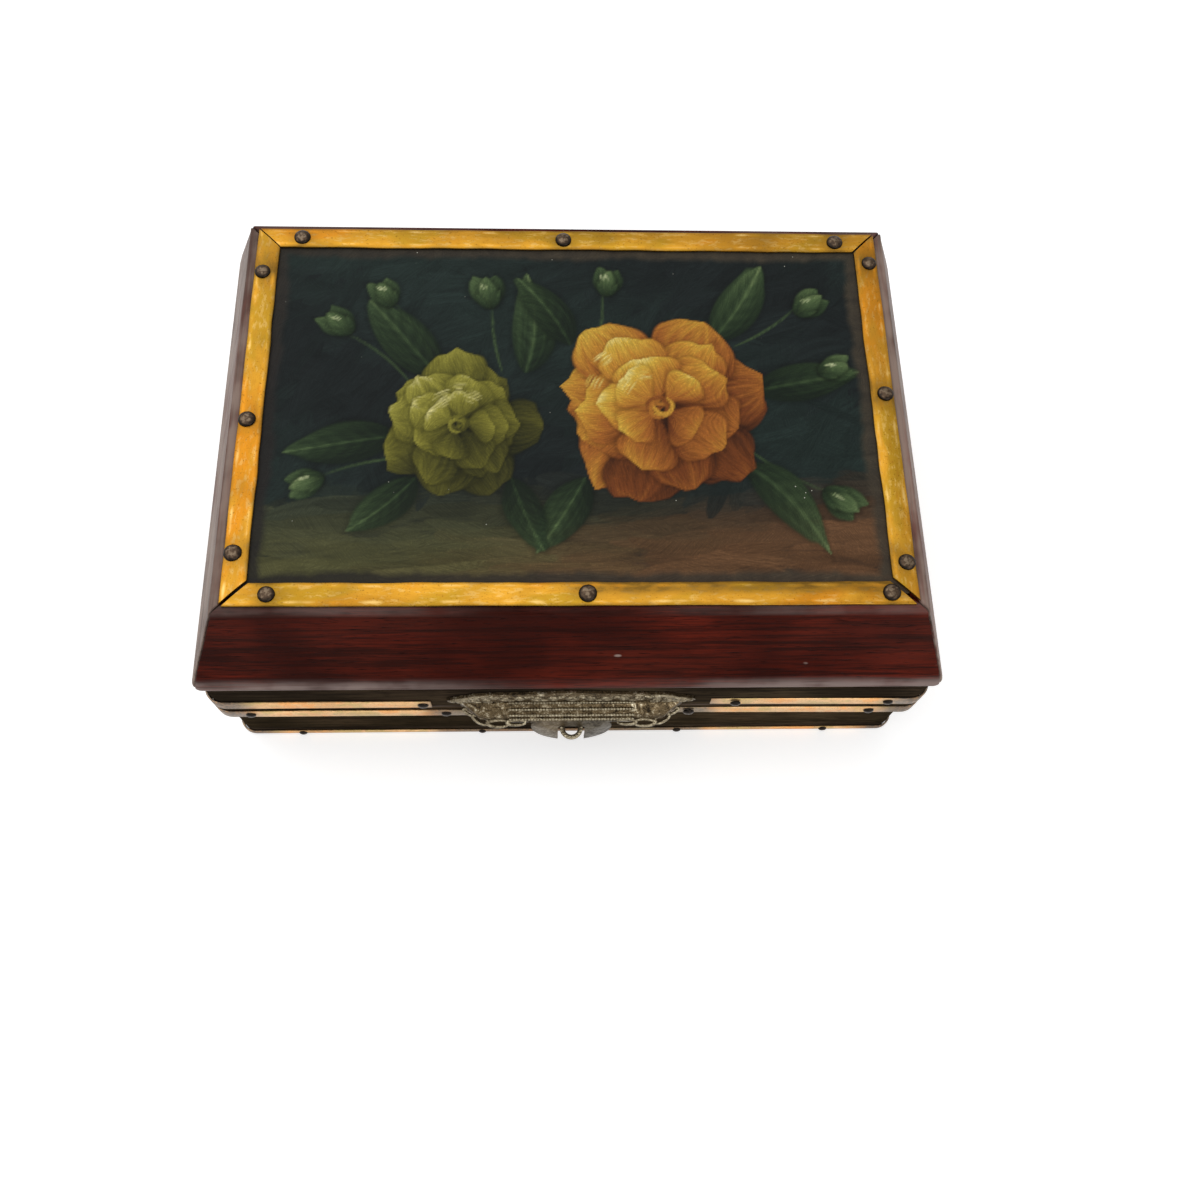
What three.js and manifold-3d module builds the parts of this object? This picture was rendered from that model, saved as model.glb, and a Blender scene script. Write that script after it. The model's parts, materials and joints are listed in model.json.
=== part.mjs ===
// A small wooden jewelry box: a low two-step body and a tall, steep-sided lid with a painted panel
// framed in tacked brass strip, a brass hasp at the front and two brass butt hinges at the back.
//
// Millimetres, +Z up. The front faces -Y and +X is to the right.
// The origin is the middle of the underside of the floor board.

import * as THREE from 'three';
import { mergeVertices } from 'three/addons/utils/BufferGeometryUtils.js';
import Module from 'manifold-3d';

const wasm = await Module();
wasm.setup();

// Clearances
const jointGap = 0.3; // between two boards that meet
const trimGap = 0.2; // between sheet metal or card and what it lies on
const runningGap = 0.2; // between a hinge pin and its knuckle
const cutOverrun = 2; // how far a cutting solid runs past what it cuts

// Lid top and its brass frame
const frameLength = 200;
const frameDepth = 130;
const frameStripWidth = 7.2;
const frameStripThickness = 0.6;
const frameStripEase = 0.25;
const rearMitreGap = 0.5;
const frontMitreGap = 1.3;
const shoulderWidth = 2.4;
const shoulderDrop = 2.2;
const shoulderFlatShare = 0.33;
const shoulderCurveShare = 0.9;
const panelThickness = 0.7;
const topBoardThickness = 4.4;
const rebateInset = 3.4;
const tackRadius = 2.65;
const tackHeight = 1.5;
const tackRim = 0.3;

// Sloped boards of the lid
const slopeRun = 11.5;
const slopeHeight = 29.9;
const noseRadius = 2.6;
const slopeFootHeight = 2.5;
const shelfWidth = 5;
const shelfThickness = 2.7;

// Skirt of the lid
const skirtInset = 0.7;
const skirtHeight = 16.7;
const skirtThickness = 7;
const skirtCornerRadius = 5;
const seamGap = 0.5;

// Body
const rimProud = 1.9;
const rimHeight = 7.8;
const wallHeight = 29.3;
const wallThickness = 7;
const wallCornerRadius = 4.5;
const floorThickness = 5;

// Brass bands round the skirt, the rim and the foot
const bandThickness = 0.6;
const skirtBandHeight = 5.4;
const skirtBandRise = 0.8;
const skirtBandOpening = 88;
const rimBandHeight = 5.2;
const rimBandRise = 0.2;
const rimBandOpening = 56;
const footBandHeight = 2;
const footBandRise = 0.6;
const footBandButt = 0.4;

// Lining and dividers
const liningThickness = 1.4;
const liningCornerRadius = 2;
const liningDrop = 0.8;
const padThickness = 3;
const padEase = 1.2;
const dividerThickness = 2.4;
const dividerHeight = 20;
const frontTrayDepth = 46;
const sideTrayLength = 62;

// Mirror
const mirrorThickness = 3;
const beadHeight = 3;
const beadWidth = 4.5;

// Hinges
const hingeLength = 24;
const hingeSpacing = 124;
const hingeKnuckleRadius = 2.1;
const hingePinRadius = 0.95;
const hingeLeafThickness = 0.9;
const hingeLeafInset = 1;
const hingeKnuckleShare = 0.34;

// Clasp: plate, hood and hasp on the lid, plate and staple on the rim
const claspPlateLength = 77;
const claspPlateHeight = 15;
const claspPlateThickness = 0.9;
const claspPlateRise = 1;
const hoodLength = 70;
const hoodFrontLength = 51.4;
const hoodDepth = 4.9;
const hoodHeight = 4.4;
const hoodSink = 0.5;
const hoodBeadLength = 38.8;
const hoodBeadRadius = 0.45;
const haspPinRadius = 0.8;
const haspKnuckleRadius = 2.1;
const haspKnuckleLength = 26;
const flapTopLength = 23;
const flapLength = 25.8;
const flapShoulderDrop = 5;
const flapHeight = 20.8;
const flapThickness = 1.2;
const flapBulge = 1.9;
const slotLength = 8.6;
const slotCornerRadius = 1.2;
const slotHeadroom = 0.8;
const slotFlare = 1.6;
const keeperLength = 48;
const keeperChamfer = 2;
const stapleDrop = 3.9;
const stapleWireRadius = 0.8;
const stapleHalfWidth = 2.9;
const stapleReach = 10.2;

// Positions of the frame tacks as shares of the half length or half depth of the frame
const rearTackShares = [-0.85, -0.02, 0.86];
const frontTackShares = [-0.86, 0.04, 0.91];
const leftTackShares = [-0.75, -0.08, 0.74];
const rightTackShares = [-0.8, 0.07, 0.82];

// Right half of the clasp plate's outline: share of its half length, share of its height
const claspPlateShares = [
  [0.62, 0], [0.8, 0.03], [0.85, 0.2], [0.9, 0.33], [0.99, 0.42], [1, 0.54],
  [0.92, 0.66], [0.85, 0.72], [0.8, 0.82], [0.64, 0.88], [0.42, 0.9], [0.2, 0.94],
];

// Where the four hood beads sit, as shares of the hood's quarter turn
const hoodBeadShares = [0.12, 0.38, 0.64, 0.9];

// Heights that follow from the sizes above
const wallFoot = floorThickness + jointGap;
const rimTop = wallFoot + wallHeight;
const rimFoot = rimTop - rimHeight;
const seamHeight = rimTop + seamGap / 2;
const skirtFoot = rimTop + seamGap;
const skirtTop = skirtFoot + skirtHeight;
const noseFoot = skirtTop + jointGap;
const noseHeight = noseFoot + noseRadius;
const creaseHeight = noseHeight + slopeHeight;
const lidTop = creaseHeight + shoulderDrop;
const topBoardTop = lidTop - panelThickness - trimGap;
const topBoardFoot = topBoardTop - topBoardThickness;
const shelfTop = topBoardFoot - jointGap;
const shelfFoot = shelfTop - shelfThickness;
const stripFoot = lidTop + trimGap;
const mirrorFoot = topBoardFoot - trimGap - mirrorThickness;

// Distances outward from the edge of the brass frame
const edgeOut = shoulderWidth + slopeRun;
const skirtOut = edgeOut - skirtInset;
const wallOut = skirtOut - rimProud;

// Half sizes in plan
const frameHalfX = frameLength / 2;
const frameHalfY = frameDepth / 2;
const skirtHalfX = frameHalfX + skirtOut;
const skirtHalfY = frameHalfY + skirtOut;
const wallHalfX = frameHalfX + wallOut;
const wallHalfY = frameHalfY + wallOut;
const insideHalfX = wallHalfX - wallThickness;
const insideHalfY = wallHalfY - wallThickness;

// Hinge and hasp axes
const hingeAxisY = skirtHalfY + trimGap + bandThickness + jointGap + hingeKnuckleRadius;
const hingeLeafReach = hingeAxisY - (skirtHalfY - skirtThickness) - hingeLeafInset;
const claspPlateFront = trimGap + claspPlateThickness;
const haspAxisOut = claspPlateFront + trimGap + haspKnuckleRadius;

const upright = Math.PI / 2;
const halfTurn = Math.PI;

// Materials: one for each piece, so that a piece can be refinished by itself

function finish(color, roughness, metalness) {
  return new THREE.MeshStandardMaterial({ color, roughness, metalness });
}

const darkWood = () => finish(0x35150f, 0.42, 0);
const redWood = () => finish(0x4c1a14, 0.36, 0);
const plainWood = () => finish(0x7a5233, 0.6, 0);
const goldBrass = () => finish(0xd9a040, 0.34, 1);
const paleBrass = () => finish(0xe2b07a, 0.36, 1);
const agedBrass = () => finish(0x8d8263, 0.42, 1);
const tackBronze = () => finish(0x4a3628, 0.5, 0.8);
const paintedGround = () => finish(0x17221f, 0.5, 0);
const wineVelvet = () => finish(0x571722, 0.95, 0);
const mirrorGlass = () => finish(0xd8dde0, 0.04, 1);

// Solids

function toSolid(geometry) {
  const bare = geometry.clone();
  bare.deleteAttribute('normal');
  bare.deleteAttribute('uv');
  const merged = mergeVertices(bare);
  return new wasm.Manifold(new wasm.Mesh({
    numProp: 3,
    vertProperties: merged.attributes.position.array,
    triVerts: Uint32Array.from(merged.index.array),
  }));
}

function toGeometry(solid) {
  const mesh = solid.getMesh();
  const geometry = new THREE.BufferGeometry();
  geometry.setAttribute('position', new THREE.BufferAttribute(mesh.vertProperties, 3));
  geometry.setIndex(new THREE.BufferAttribute(mesh.triVerts, 1));
  geometry.computeVertexNormals();
  return geometry;
}

function joined(...geometries) {
  return toGeometry(geometries.map(toSolid).reduce((sum, solid) => sum.add(solid)));
}

function cut(geometry, ...cutters) {
  return toGeometry(cutters.map(toSolid).reduce((rest, solid) => rest.subtract(solid), toSolid(geometry)));
}

function shared(geometry, other) {
  return toGeometry(toSolid(geometry).intersect(toSolid(other)));
}

function block(lowX, highX, lowY, highY, lowZ, highZ) {
  const geometry = new THREE.BoxGeometry(highX - lowX, highY - lowY, highZ - lowZ);
  return geometry.translate((lowX + highX) / 2, (lowY + highY) / 2, (lowZ + highZ) / 2);
}

// A round bar along X
function bar(radius, lowX, highX, sides) {
  const geometry = new THREE.CylinderGeometry(radius, radius, highX - lowX, sides);
  return geometry.rotateZ(upright).translate((lowX + highX) / 2, 0, 0);
}

function extruded(shape, height, curveSegments = 5) {
  return new THREE.ExtrudeGeometry(shape, { depth: height, bevelEnabled: false, curveSegments });
}

function roundedRectangle(halfX, halfY, radius) {
  const cornerX = halfX - radius;
  const cornerY = halfY - radius;
  const outline = new THREE.Shape();
  outline.absarc(cornerX, cornerY, radius, 0, upright, false);
  outline.absarc(-cornerX, cornerY, radius, upright, halfTurn, false);
  outline.absarc(-cornerX, -cornerY, radius, halfTurn, halfTurn + upright, false);
  outline.absarc(cornerX, -cornerY, radius, halfTurn + upright, 2 * halfTurn, false);
  return outline;
}

// One side of a rounded rectangular ring, mitred through the corners and facing +Y
function ringSide(halfAlong, halfAcross, radius, thickness) {
  const mitre = upright / 2;
  const cornerX = halfAlong - radius;
  const cornerY = halfAcross - radius;
  const outerSkip = jointGap / 2 / radius;
  const innerRadius = radius - thickness;
  const outline = new THREE.Shape();
  outline.absarc(cornerX, cornerY, radius, mitre + outerSkip, upright, false);
  outline.absarc(-cornerX, cornerY, radius, upright, halfTurn - mitre - outerSkip, false);
  if (innerRadius > 2 * jointGap) {
    const innerSkip = jointGap / 2 / innerRadius;
    outline.absarc(-cornerX, cornerY, innerRadius, halfTurn - mitre - innerSkip, upright, true);
    outline.absarc(cornerX, cornerY, innerRadius, upright, mitre + innerSkip, true);
  } else {
    const innerX = halfAlong - thickness - jointGap / Math.SQRT2;
    outline.lineTo(-innerX, halfAcross - thickness);
    outline.lineTo(innerX, halfAcross - thickness);
  }
  return outline;
}

// A band round a rounded rectangle, open for a stretch in the middle of the -Y side
function openBand(halfX, halfY, radius, thickness, opening) {
  const cornerX = halfX - radius;
  const cornerY = halfY - radius;
  const inner = radius - thickness;
  const corners = [[cornerX, -cornerY], [cornerX, cornerY], [-cornerX, cornerY], [-cornerX, -cornerY]];
  const outline = new THREE.Shape();
  outline.moveTo(opening / 2, -halfY);
  corners.forEach(([x, y], turn) => {
    outline.absarc(x, y, radius, (turn - 1) * upright, turn * upright, false);
  });
  outline.lineTo(-opening / 2, -halfY);
  outline.lineTo(-opening / 2, thickness - halfY);
  corners.reverse().forEach(([x, y], turn) => {
    outline.absarc(x, y, inner, (3 - turn) * upright, (2 - turn) * upright, true);
  });
  outline.lineTo(opening / 2, thickness - halfY);
  return outline;
}

// The corners of an outline, anticlockwise, with no two neighbours alike
function outlinePoints(outline, divisions) {
  const points = outline.extractPoints(divisions).shape;
  const clear = points.filter((point, i) => point.distanceTo(points.at(i - 1)) > Number.EPSILON);
  return THREE.ShapeUtils.isClockWise(clear) ? clear.reverse() : clear;
}

// A moulding along the +Y side of a rectangle with mitred ends. Its profile gives pairs of
// distance outward from the rectangle and height; the gaps are those of the -X and +X ends.
function mitredMoulding(profile, halfAlong, halfAcross, leftGap, rightGap) {
  const count = profile.length;
  const positions = [];
  for (const [side, gap] of [[-1, leftGap], [1, rightGap]]) {
    for (const point of profile) {
      positions.push(side * (halfAlong + point.x - gap / Math.SQRT2), halfAcross + point.x, point.y);
    }
  }
  const index = [];
  for (const [a, b, c] of THREE.ShapeUtils.triangulateShape(profile, [])) {
    index.push(c, b, a);
    index.push(a + count, b + count, c + count);
  }
  for (let i = 0; i < count; i += 1) {
    const next = (i + 1) % count;
    index.push(i, next, next + count);
    index.push(i, next + count, i + count);
  }
  const geometry = new THREE.BufferGeometry();
  geometry.setAttribute('position', new THREE.Float32BufferAttribute(positions, 3));
  geometry.setIndex(index);
  geometry.computeVertexNormals();
  return geometry;
}

// Scene graph helpers

function place(parent, name, geometry, material, x = 0, y = 0, z = 0) {
  const mesh = new THREE.Mesh(geometry, material);
  mesh.name = name;
  mesh.position.set(x, y, z);
  parent.add(mesh);
  return mesh;
}

// Calls make(side) for the four sides of a rectangle and turns each piece from +Y to its own side.
function placeFourSides(parent, name, halfX, halfY, make, material, height = 0) {
  const sides = [
    { side: 'back', turn: 0, along: halfX, across: halfY },
    { side: 'left', turn: upright, along: halfY, across: halfX },
    { side: 'front', turn: halfTurn, along: halfX, across: halfY },
    { side: 'right', turn: -upright, along: halfY, across: halfX },
  ];
  for (const { side, turn, along, across } of sides) {
    const mesh = place(parent, `${name}_${side}`, make(along, across, side), material(), 0, 0, height);
    mesh.rotation.z = turn;
  }
}

// Hinge parts, drawn about the pin's axis along X with the box in front of it

const knuckleSides = 20;
const pinSides = 16;
const knuckleLength = hingeLength * hingeKnuckleShare;
const leafStep = trimGap / 2;

// A leaf with its knuckles: side is -1 for the leaf on the body and 1 for the leaf on the lid
function hingeLeaf(side, knuckles) {
  const lowZ = side > 0 ? leafStep : -leafStep - hingeLeafThickness;
  const highZ = lowZ + hingeLeafThickness;
  const plateEdge = -(hingeKnuckleRadius + jointGap);
  const half = hingeLength / 2;
  const solids = [block(-half, half, -hingeLeafReach, plateEdge, lowZ, highZ)];
  for (const [low, high] of knuckles) {
    solids.push(block(low, high, plateEdge - hingeLeafThickness, 0, lowZ, highZ));
    solids.push(bar(hingeKnuckleRadius, low, high, knuckleSides));
  }
  const bore = bar(hingePinRadius + runningGap, -half - cutOverrun, half + cutOverrun, pinSides);
  return cut(joined(...solids), bore);
}

const middleKnuckle = [[-knuckleLength / 2 + jointGap / 2, knuckleLength / 2 - jointGap / 2]];
const outerKnuckles = [
  [-hingeLength / 2, -knuckleLength / 2 - jointGap / 2],
  [knuckleLength / 2 + jointGap / 2, hingeLength / 2],
];

// The pocket that lets a leaf into the edge of a board, about the same axis
function leafPocket(side, x) {
  const floor = leafStep + hingeLeafThickness + trimGap;
  const lowZ = side > 0 ? -cutOverrun : -floor;
  const highZ = side > 0 ? floor : cutOverrun;
  const half = hingeLength / 2 + jointGap;
  const pocket = block(x - half, x + half, -hingeLeafReach - jointGap, cutOverrun, lowZ, highZ);
  return pocket.translate(0, hingeAxisY, seamHeight);
}

function cutPockets(geometry, side) {
  return cut(geometry, leafPocket(side, -hingeSpacing / 2), leafPocket(side, hingeSpacing / 2));
}

// A board of a ring, extruded from foot to top, with hinge pockets if it is at the back
function ringBoard(radius, thickness, foot, height, pocketSide) {
  return (along, across, side) => {
    const board = extruded(ringSide(along, across, radius, thickness), height).translate(0, 0, foot);
    return side === 'back' && pocketSide ? cutPockets(board, pocketSide) : board;
  };
}

// Body

function buildBody() {
  const body = new THREE.Group();
  const floorShape = roundedRectangle(wallHalfX, wallHalfY, wallCornerRadius);
  place(body, 'floor_board', extruded(floorShape, floorThickness), darkWood());

  const wall = ringBoard(wallCornerRadius, wallThickness, wallFoot, wallHeight, -1);
  placeFourSides(body, 'wall', wallHalfX, wallHalfY, wall, darkWood);

  const rim = ringBoard(skirtCornerRadius, rimProud - jointGap, rimFoot, rimHeight, -1);
  placeFourSides(body, 'rim_moulding', skirtHalfX, skirtHalfY, rim, darkWood);

  const proud = trimGap + bandThickness;
  const rimBand = openBand(
    skirtHalfX + proud, skirtHalfY + proud, skirtCornerRadius + proud, bandThickness, rimBandOpening,
  );
  place(body, 'rim_band', extruded(rimBand, rimBandHeight), paleBrass(), 0, 0, rimFoot + rimBandRise);

  const footBand = openBand(
    wallHalfX + proud, wallHalfY + proud, wallCornerRadius + proud, bandThickness, footBandButt,
  );
  const foot = place(body, 'foot_band', extruded(footBand, footBandHeight), paleBrass(), 0, 0, footBandRise);
  foot.rotation.z = halfTurn;

  buildInside(body);
  buildKeeper(body);
  return body;
}

// Lining card round the walls, padded floor and three dividers
function buildInside(body) {
  const liningHalfX = insideHalfX - jointGap;
  const liningHalfY = insideHalfY - jointGap;
  const liningShape = roundedRectangle(liningHalfX, liningHalfY, liningCornerRadius);
  const clearX = liningHalfX - liningThickness;
  const clearY = liningHalfY - liningThickness;
  const clearRadius = Math.max(liningCornerRadius - liningThickness, jointGap);
  liningShape.holes.push(roundedRectangle(clearX, clearY, clearRadius));
  const liningHeight = wallHeight - liningDrop;
  place(body, 'wall_lining', extruded(liningShape, liningHeight, 3), wineVelvet(), 0, 0, wallFoot);

  const padX = clearX - jointGap;
  const padY = clearY - jointGap;
  place(body, 'floor_pad', softPad(padX, padY), wineVelvet(), 0, 0, wallFoot);

  const dividerFoot = wallFoot + padThickness + jointGap;
  const longY = frontTrayDepth - clearY;
  const longDivider = divider(2 * padX);
  place(body, 'long_divider', longDivider, wineVelvet(), 0, longY, dividerFoot);
  const crossLow = longY + dividerThickness / 2 + jointGap;
  const crossLength = padY - crossLow;
  for (const [name, side] of [['cross_divider_left', -1], ['cross_divider_right', 1]]) {
    const mesh = place(body, name, divider(crossLength), wineVelvet());
    mesh.rotation.z = upright;
    mesh.position.set(side * (clearX - sideTrayLength), (crossLow + padY) / 2, dividerFoot);
  }
}

// A pad with its upper edges drawn in
function softPad(halfX, halfY) {
  const shape = roundedRectangle(halfX - padEase, halfY - padEase, padEase);
  const pad = new THREE.ExtrudeGeometry(shape, {
    depth: padThickness - padEase,
    bevelThickness: padEase,
    bevelSize: padEase,
    bevelSegments: 3,
    curveSegments: 3,
  });
  const flatFoot = block(-halfX, halfX, -halfY, halfY, 0, padThickness);
  return shared(pad, flatFoot);
}

// A card divider in cloth, with a rounded top edge, centred on its length
function divider(length) {
  const radius = dividerThickness / 2;
  const outline = new THREE.Shape();
  outline.moveTo(radius, 0);
  outline.lineTo(radius, dividerHeight - radius);
  outline.absarc(0, dividerHeight - radius, radius, 0, halfTurn, false);
  outline.lineTo(-radius, 0);
  const geometry = extruded(outline, length, 6).translate(0, 0, -length / 2);
  return geometry.rotateX(upright).rotateZ(upright);
}

// The plate on the front of the rim and the staple that stands out through the hasp
function buildKeeper(body) {
  const clasp = new THREE.Group();
  clasp.position.y = -skirtHalfY;
  body.add(clasp);

  const half = keeperLength / 2;
  const height = rimHeight - 2 * jointGap;
  const outline = new THREE.Shape();
  outline.moveTo(keeperChamfer - half, 0);
  outline.lineTo(half - keeperChamfer, 0);
  outline.lineTo(half, keeperChamfer);
  outline.lineTo(half, height);
  outline.lineTo(-half, height);
  outline.lineTo(-half, keeperChamfer);
  const plate = extruded(outline, claspPlateThickness).rotateX(upright);
  place(clasp, 'keeper_plate', plate, agedBrass(), 0, -trimGap, rimFoot + jointGap);

  place(clasp, 'staple_loop', stapleLoop(), agedBrass(), 0, 0, rimTop - stapleDrop);
}

// A level loop of wire: out along one leg, round the front and back along the other
function stapleLoop() {
  const root = -(claspPlateFront + jointGap);
  const front = -(stapleReach - stapleWireRadius - stapleHalfWidth);
  const points = [];
  const legSteps = 3;
  const bendSteps = 8;
  for (let i = 0; i < legSteps; i += 1) {
    points.push(new THREE.Vector3(-stapleHalfWidth, THREE.MathUtils.lerp(root, front, i / legSteps), 0));
  }
  for (let i = 0; i <= bendSteps; i += 1) {
    const turn = halfTurn + (i / bendSteps) * halfTurn;
    const x = stapleHalfWidth * Math.cos(turn);
    points.push(new THREE.Vector3(x, front + stapleHalfWidth * Math.sin(turn), 0));
  }
  for (let i = legSteps - 1; i >= 0; i -= 1) {
    points.push(new THREE.Vector3(stapleHalfWidth, THREE.MathUtils.lerp(root, front, i / legSteps), 0));
  }
  const section = new THREE.Shape();
  section.absarc(0, 0, stapleWireRadius, 0, 2 * halfTurn, false);
  return new THREE.ExtrudeGeometry(section, {
    extrudePath: new THREE.CatmullRomCurve3(points, false, 'centripetal'),
    steps: 26,
    curveSegments: 10,
    bevelEnabled: false,
  });
}

// Lid

// Outline of a sloped board, from its rebate over the shoulder and down to its rounded nose
function slopeProfile() {
  const crease = new THREE.Vector2(shoulderWidth, creaseHeight);
  const nose = new THREE.Vector2(edgeOut - noseRadius, noseHeight);
  const back = crease.clone().sub(nose);
  const touch = back.angle() - Math.acos(noseRadius / back.length());
  const skirtInner = skirtOut - skirtThickness;
  const outline = new THREE.Shape();
  outline.moveTo(-rebateInset, lidTop);
  outline.lineTo(shoulderWidth * shoulderFlatShare, lidTop);
  outline.quadraticCurveTo(shoulderWidth * shoulderCurveShare, lidTop, crease.x, crease.y);
  outline.absarc(nose.x, nose.y, noseRadius, touch, -upright, true);
  outline.lineTo(skirtInner, noseFoot);
  outline.lineTo(skirtInner, noseFoot + slopeFootHeight);
  outline.lineTo(-rebateInset - shelfWidth, shelfFoot);
  outline.lineTo(-rebateInset - shelfWidth, shelfTop);
  outline.lineTo(-rebateInset, shelfTop);
  return outlinePoints(outline, 6);
}

// How far outward the inner face of the sloped boards is at a height
function slopeInnerFace(height) {
  const low = new THREE.Vector2(skirtOut - skirtThickness, noseFoot + slopeFootHeight);
  const high = new THREE.Vector2(-rebateInset - shelfWidth, shelfFoot);
  return THREE.MathUtils.mapLinear(height, low.y, high.y, low.x, high.x);
}

// A quarter-round bead under the mirror, against the inner face of the sloped boards
function beadProfile() {
  const top = mirrorFoot - trimGap;
  const outerTop = slopeInnerFace(top) - jointGap;
  const outerFoot = slopeInnerFace(top - beadHeight) - jointGap;
  const outline = new THREE.Shape();
  outline.moveTo(outerTop, top);
  outline.lineTo(outerTop - beadWidth, top);
  outline.quadraticCurveTo(outerTop - beadWidth, top - beadHeight, outerFoot, top - beadHeight);
  return outlinePoints(outline, 5);
}

function buildLid() {
  const lid = new THREE.Group();
  const slope = slopeProfile();
  const slopeBoard = (along, across) => mitredMoulding(slope, along, across, jointGap, jointGap);
  placeFourSides(lid, 'lid_slope', frameHalfX, frameHalfY, slopeBoard, redWood);

  const skirt = ringBoard(skirtCornerRadius, skirtThickness, skirtFoot, skirtHeight, 1);
  placeFourSides(lid, 'lid_skirt', skirtHalfX, skirtHalfY, skirt, darkWood);

  const boardHalfX = frameHalfX - rebateInset - jointGap;
  const boardHalfY = frameHalfY - rebateInset - jointGap;
  const topBoard = new THREE.BoxGeometry(2 * boardHalfX, 2 * boardHalfY, topBoardThickness);
  place(lid, 'lid_top_board', topBoard, plainWood(), 0, 0, topBoardFoot + topBoardThickness / 2);
  const panel = new THREE.BoxGeometry(2 * boardHalfX, 2 * boardHalfY, panelThickness);
  place(lid, 'painted_panel', panel, paintedGround(), 0, 0, lidTop - panelThickness / 2);

  buildFrame(lid);
  buildMirror(lid);

  const proud = trimGap + bandThickness;
  const skirtBand = openBand(
    skirtHalfX + proud, skirtHalfY + proud, skirtCornerRadius + proud, bandThickness, skirtBandOpening,
  );
  const bandFoot = skirtFoot + skirtBandRise;
  place(lid, 'skirt_band', extruded(skirtBand, skirtBandHeight), paleBrass(), 0, 0, bandFoot);

  const clasp = new THREE.Group();
  clasp.position.y = -skirtHalfY;
  lid.add(clasp);
  place(clasp, 'clasp_plate', claspPlate(), agedBrass());
  const pin = bar(haspPinRadius, -hoodBeadLength / 2, hoodBeadLength / 2, pinSides);
  place(clasp, 'hasp_pin', pin, agedBrass(), 0, -haspAxisOut, seamHeight);
  place(clasp, 'hasp_flap', haspFlap(), agedBrass(), 0, -haspAxisOut, seamHeight);
  return lid;
}

// Four mitred brass strips and the domed tacks that hold them
function buildFrame(lid) {
  const ease = frameStripEase;
  const strip = [
    new THREE.Vector2(-frameStripWidth, stripFoot),
    new THREE.Vector2(0, stripFoot),
    new THREE.Vector2(0, stripFoot + frameStripThickness - ease),
    new THREE.Vector2(-ease, stripFoot + frameStripThickness),
    new THREE.Vector2(ease - frameStripWidth, stripFoot + frameStripThickness),
    new THREE.Vector2(-frameStripWidth, stripFoot + frameStripThickness - ease),
  ];
  const mitreGaps = {
    back: [rearMitreGap, rearMitreGap],
    left: [frontMitreGap, rearMitreGap],
    front: [frontMitreGap, frontMitreGap],
    right: [rearMitreGap, frontMitreGap],
  };
  const brassStrip = (along, across, side) => mitredMoulding(strip, along, across, ...mitreGaps[side]);
  placeFourSides(lid, 'frame_strip', frameHalfX, frameHalfY, brassStrip, goldBrass);

  const tackZ = stripFoot + frameStripThickness + trimGap;
  const lineX = frameHalfX - frameStripWidth / 2;
  const lineY = frameHalfY - frameStripWidth / 2;
  const rows = [
    { side: 'back', shares: rearTackShares, spot: (share) => [share * frameHalfX, lineY] },
    { side: 'front', shares: frontTackShares, spot: (share) => [share * frameHalfX, -lineY] },
    { side: 'left', shares: leftTackShares, spot: (share) => [-lineX, share * frameHalfY] },
    { side: 'right', shares: rightTackShares, spot: (share) => [lineX, share * frameHalfY] },
  ];
  for (const { side, shares, spot } of rows) {
    shares.forEach((share, i) => {
      const [x, y] = spot(share);
      place(lid, `tack_${side}_${i + 1}`, tackHead(), tackBronze(), x, y, tackZ);
    });
  }
}

// A low domed tack head
function tackHead() {
  const profile = new THREE.Path();
  profile.moveTo(0, 0);
  profile.lineTo(tackRadius, 0);
  profile.lineTo(tackRadius, tackRim);
  profile.absellipse(0, tackRim, tackRadius, tackHeight - tackRim, 0, upright, false, 0);
  const points = profile.getPoints(5);
  points[points.length - 1].x = 0;
  return new THREE.LatheGeometry(points, 16).rotateX(upright);
}

// Mirror glass under the top board, held by four mitred beads
function buildMirror(lid) {
  const inset = rebateInset + shelfWidth + jointGap;
  const glass = new THREE.BoxGeometry(2 * (frameHalfX - inset), 2 * (frameHalfY - inset), mirrorThickness);
  place(lid, 'mirror_glass', glass, mirrorGlass(), 0, 0, mirrorFoot + mirrorThickness / 2);
  const bead = beadProfile();
  const beadSide = (along, across) => mitredMoulding(bead, along, across, jointGap, jointGap);
  placeFourSides(lid, 'mirror_bead', frameHalfX, frameHalfY, beadSide, redWood);
}

// Clasp, drawn about the middle of the skirt's front face

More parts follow.
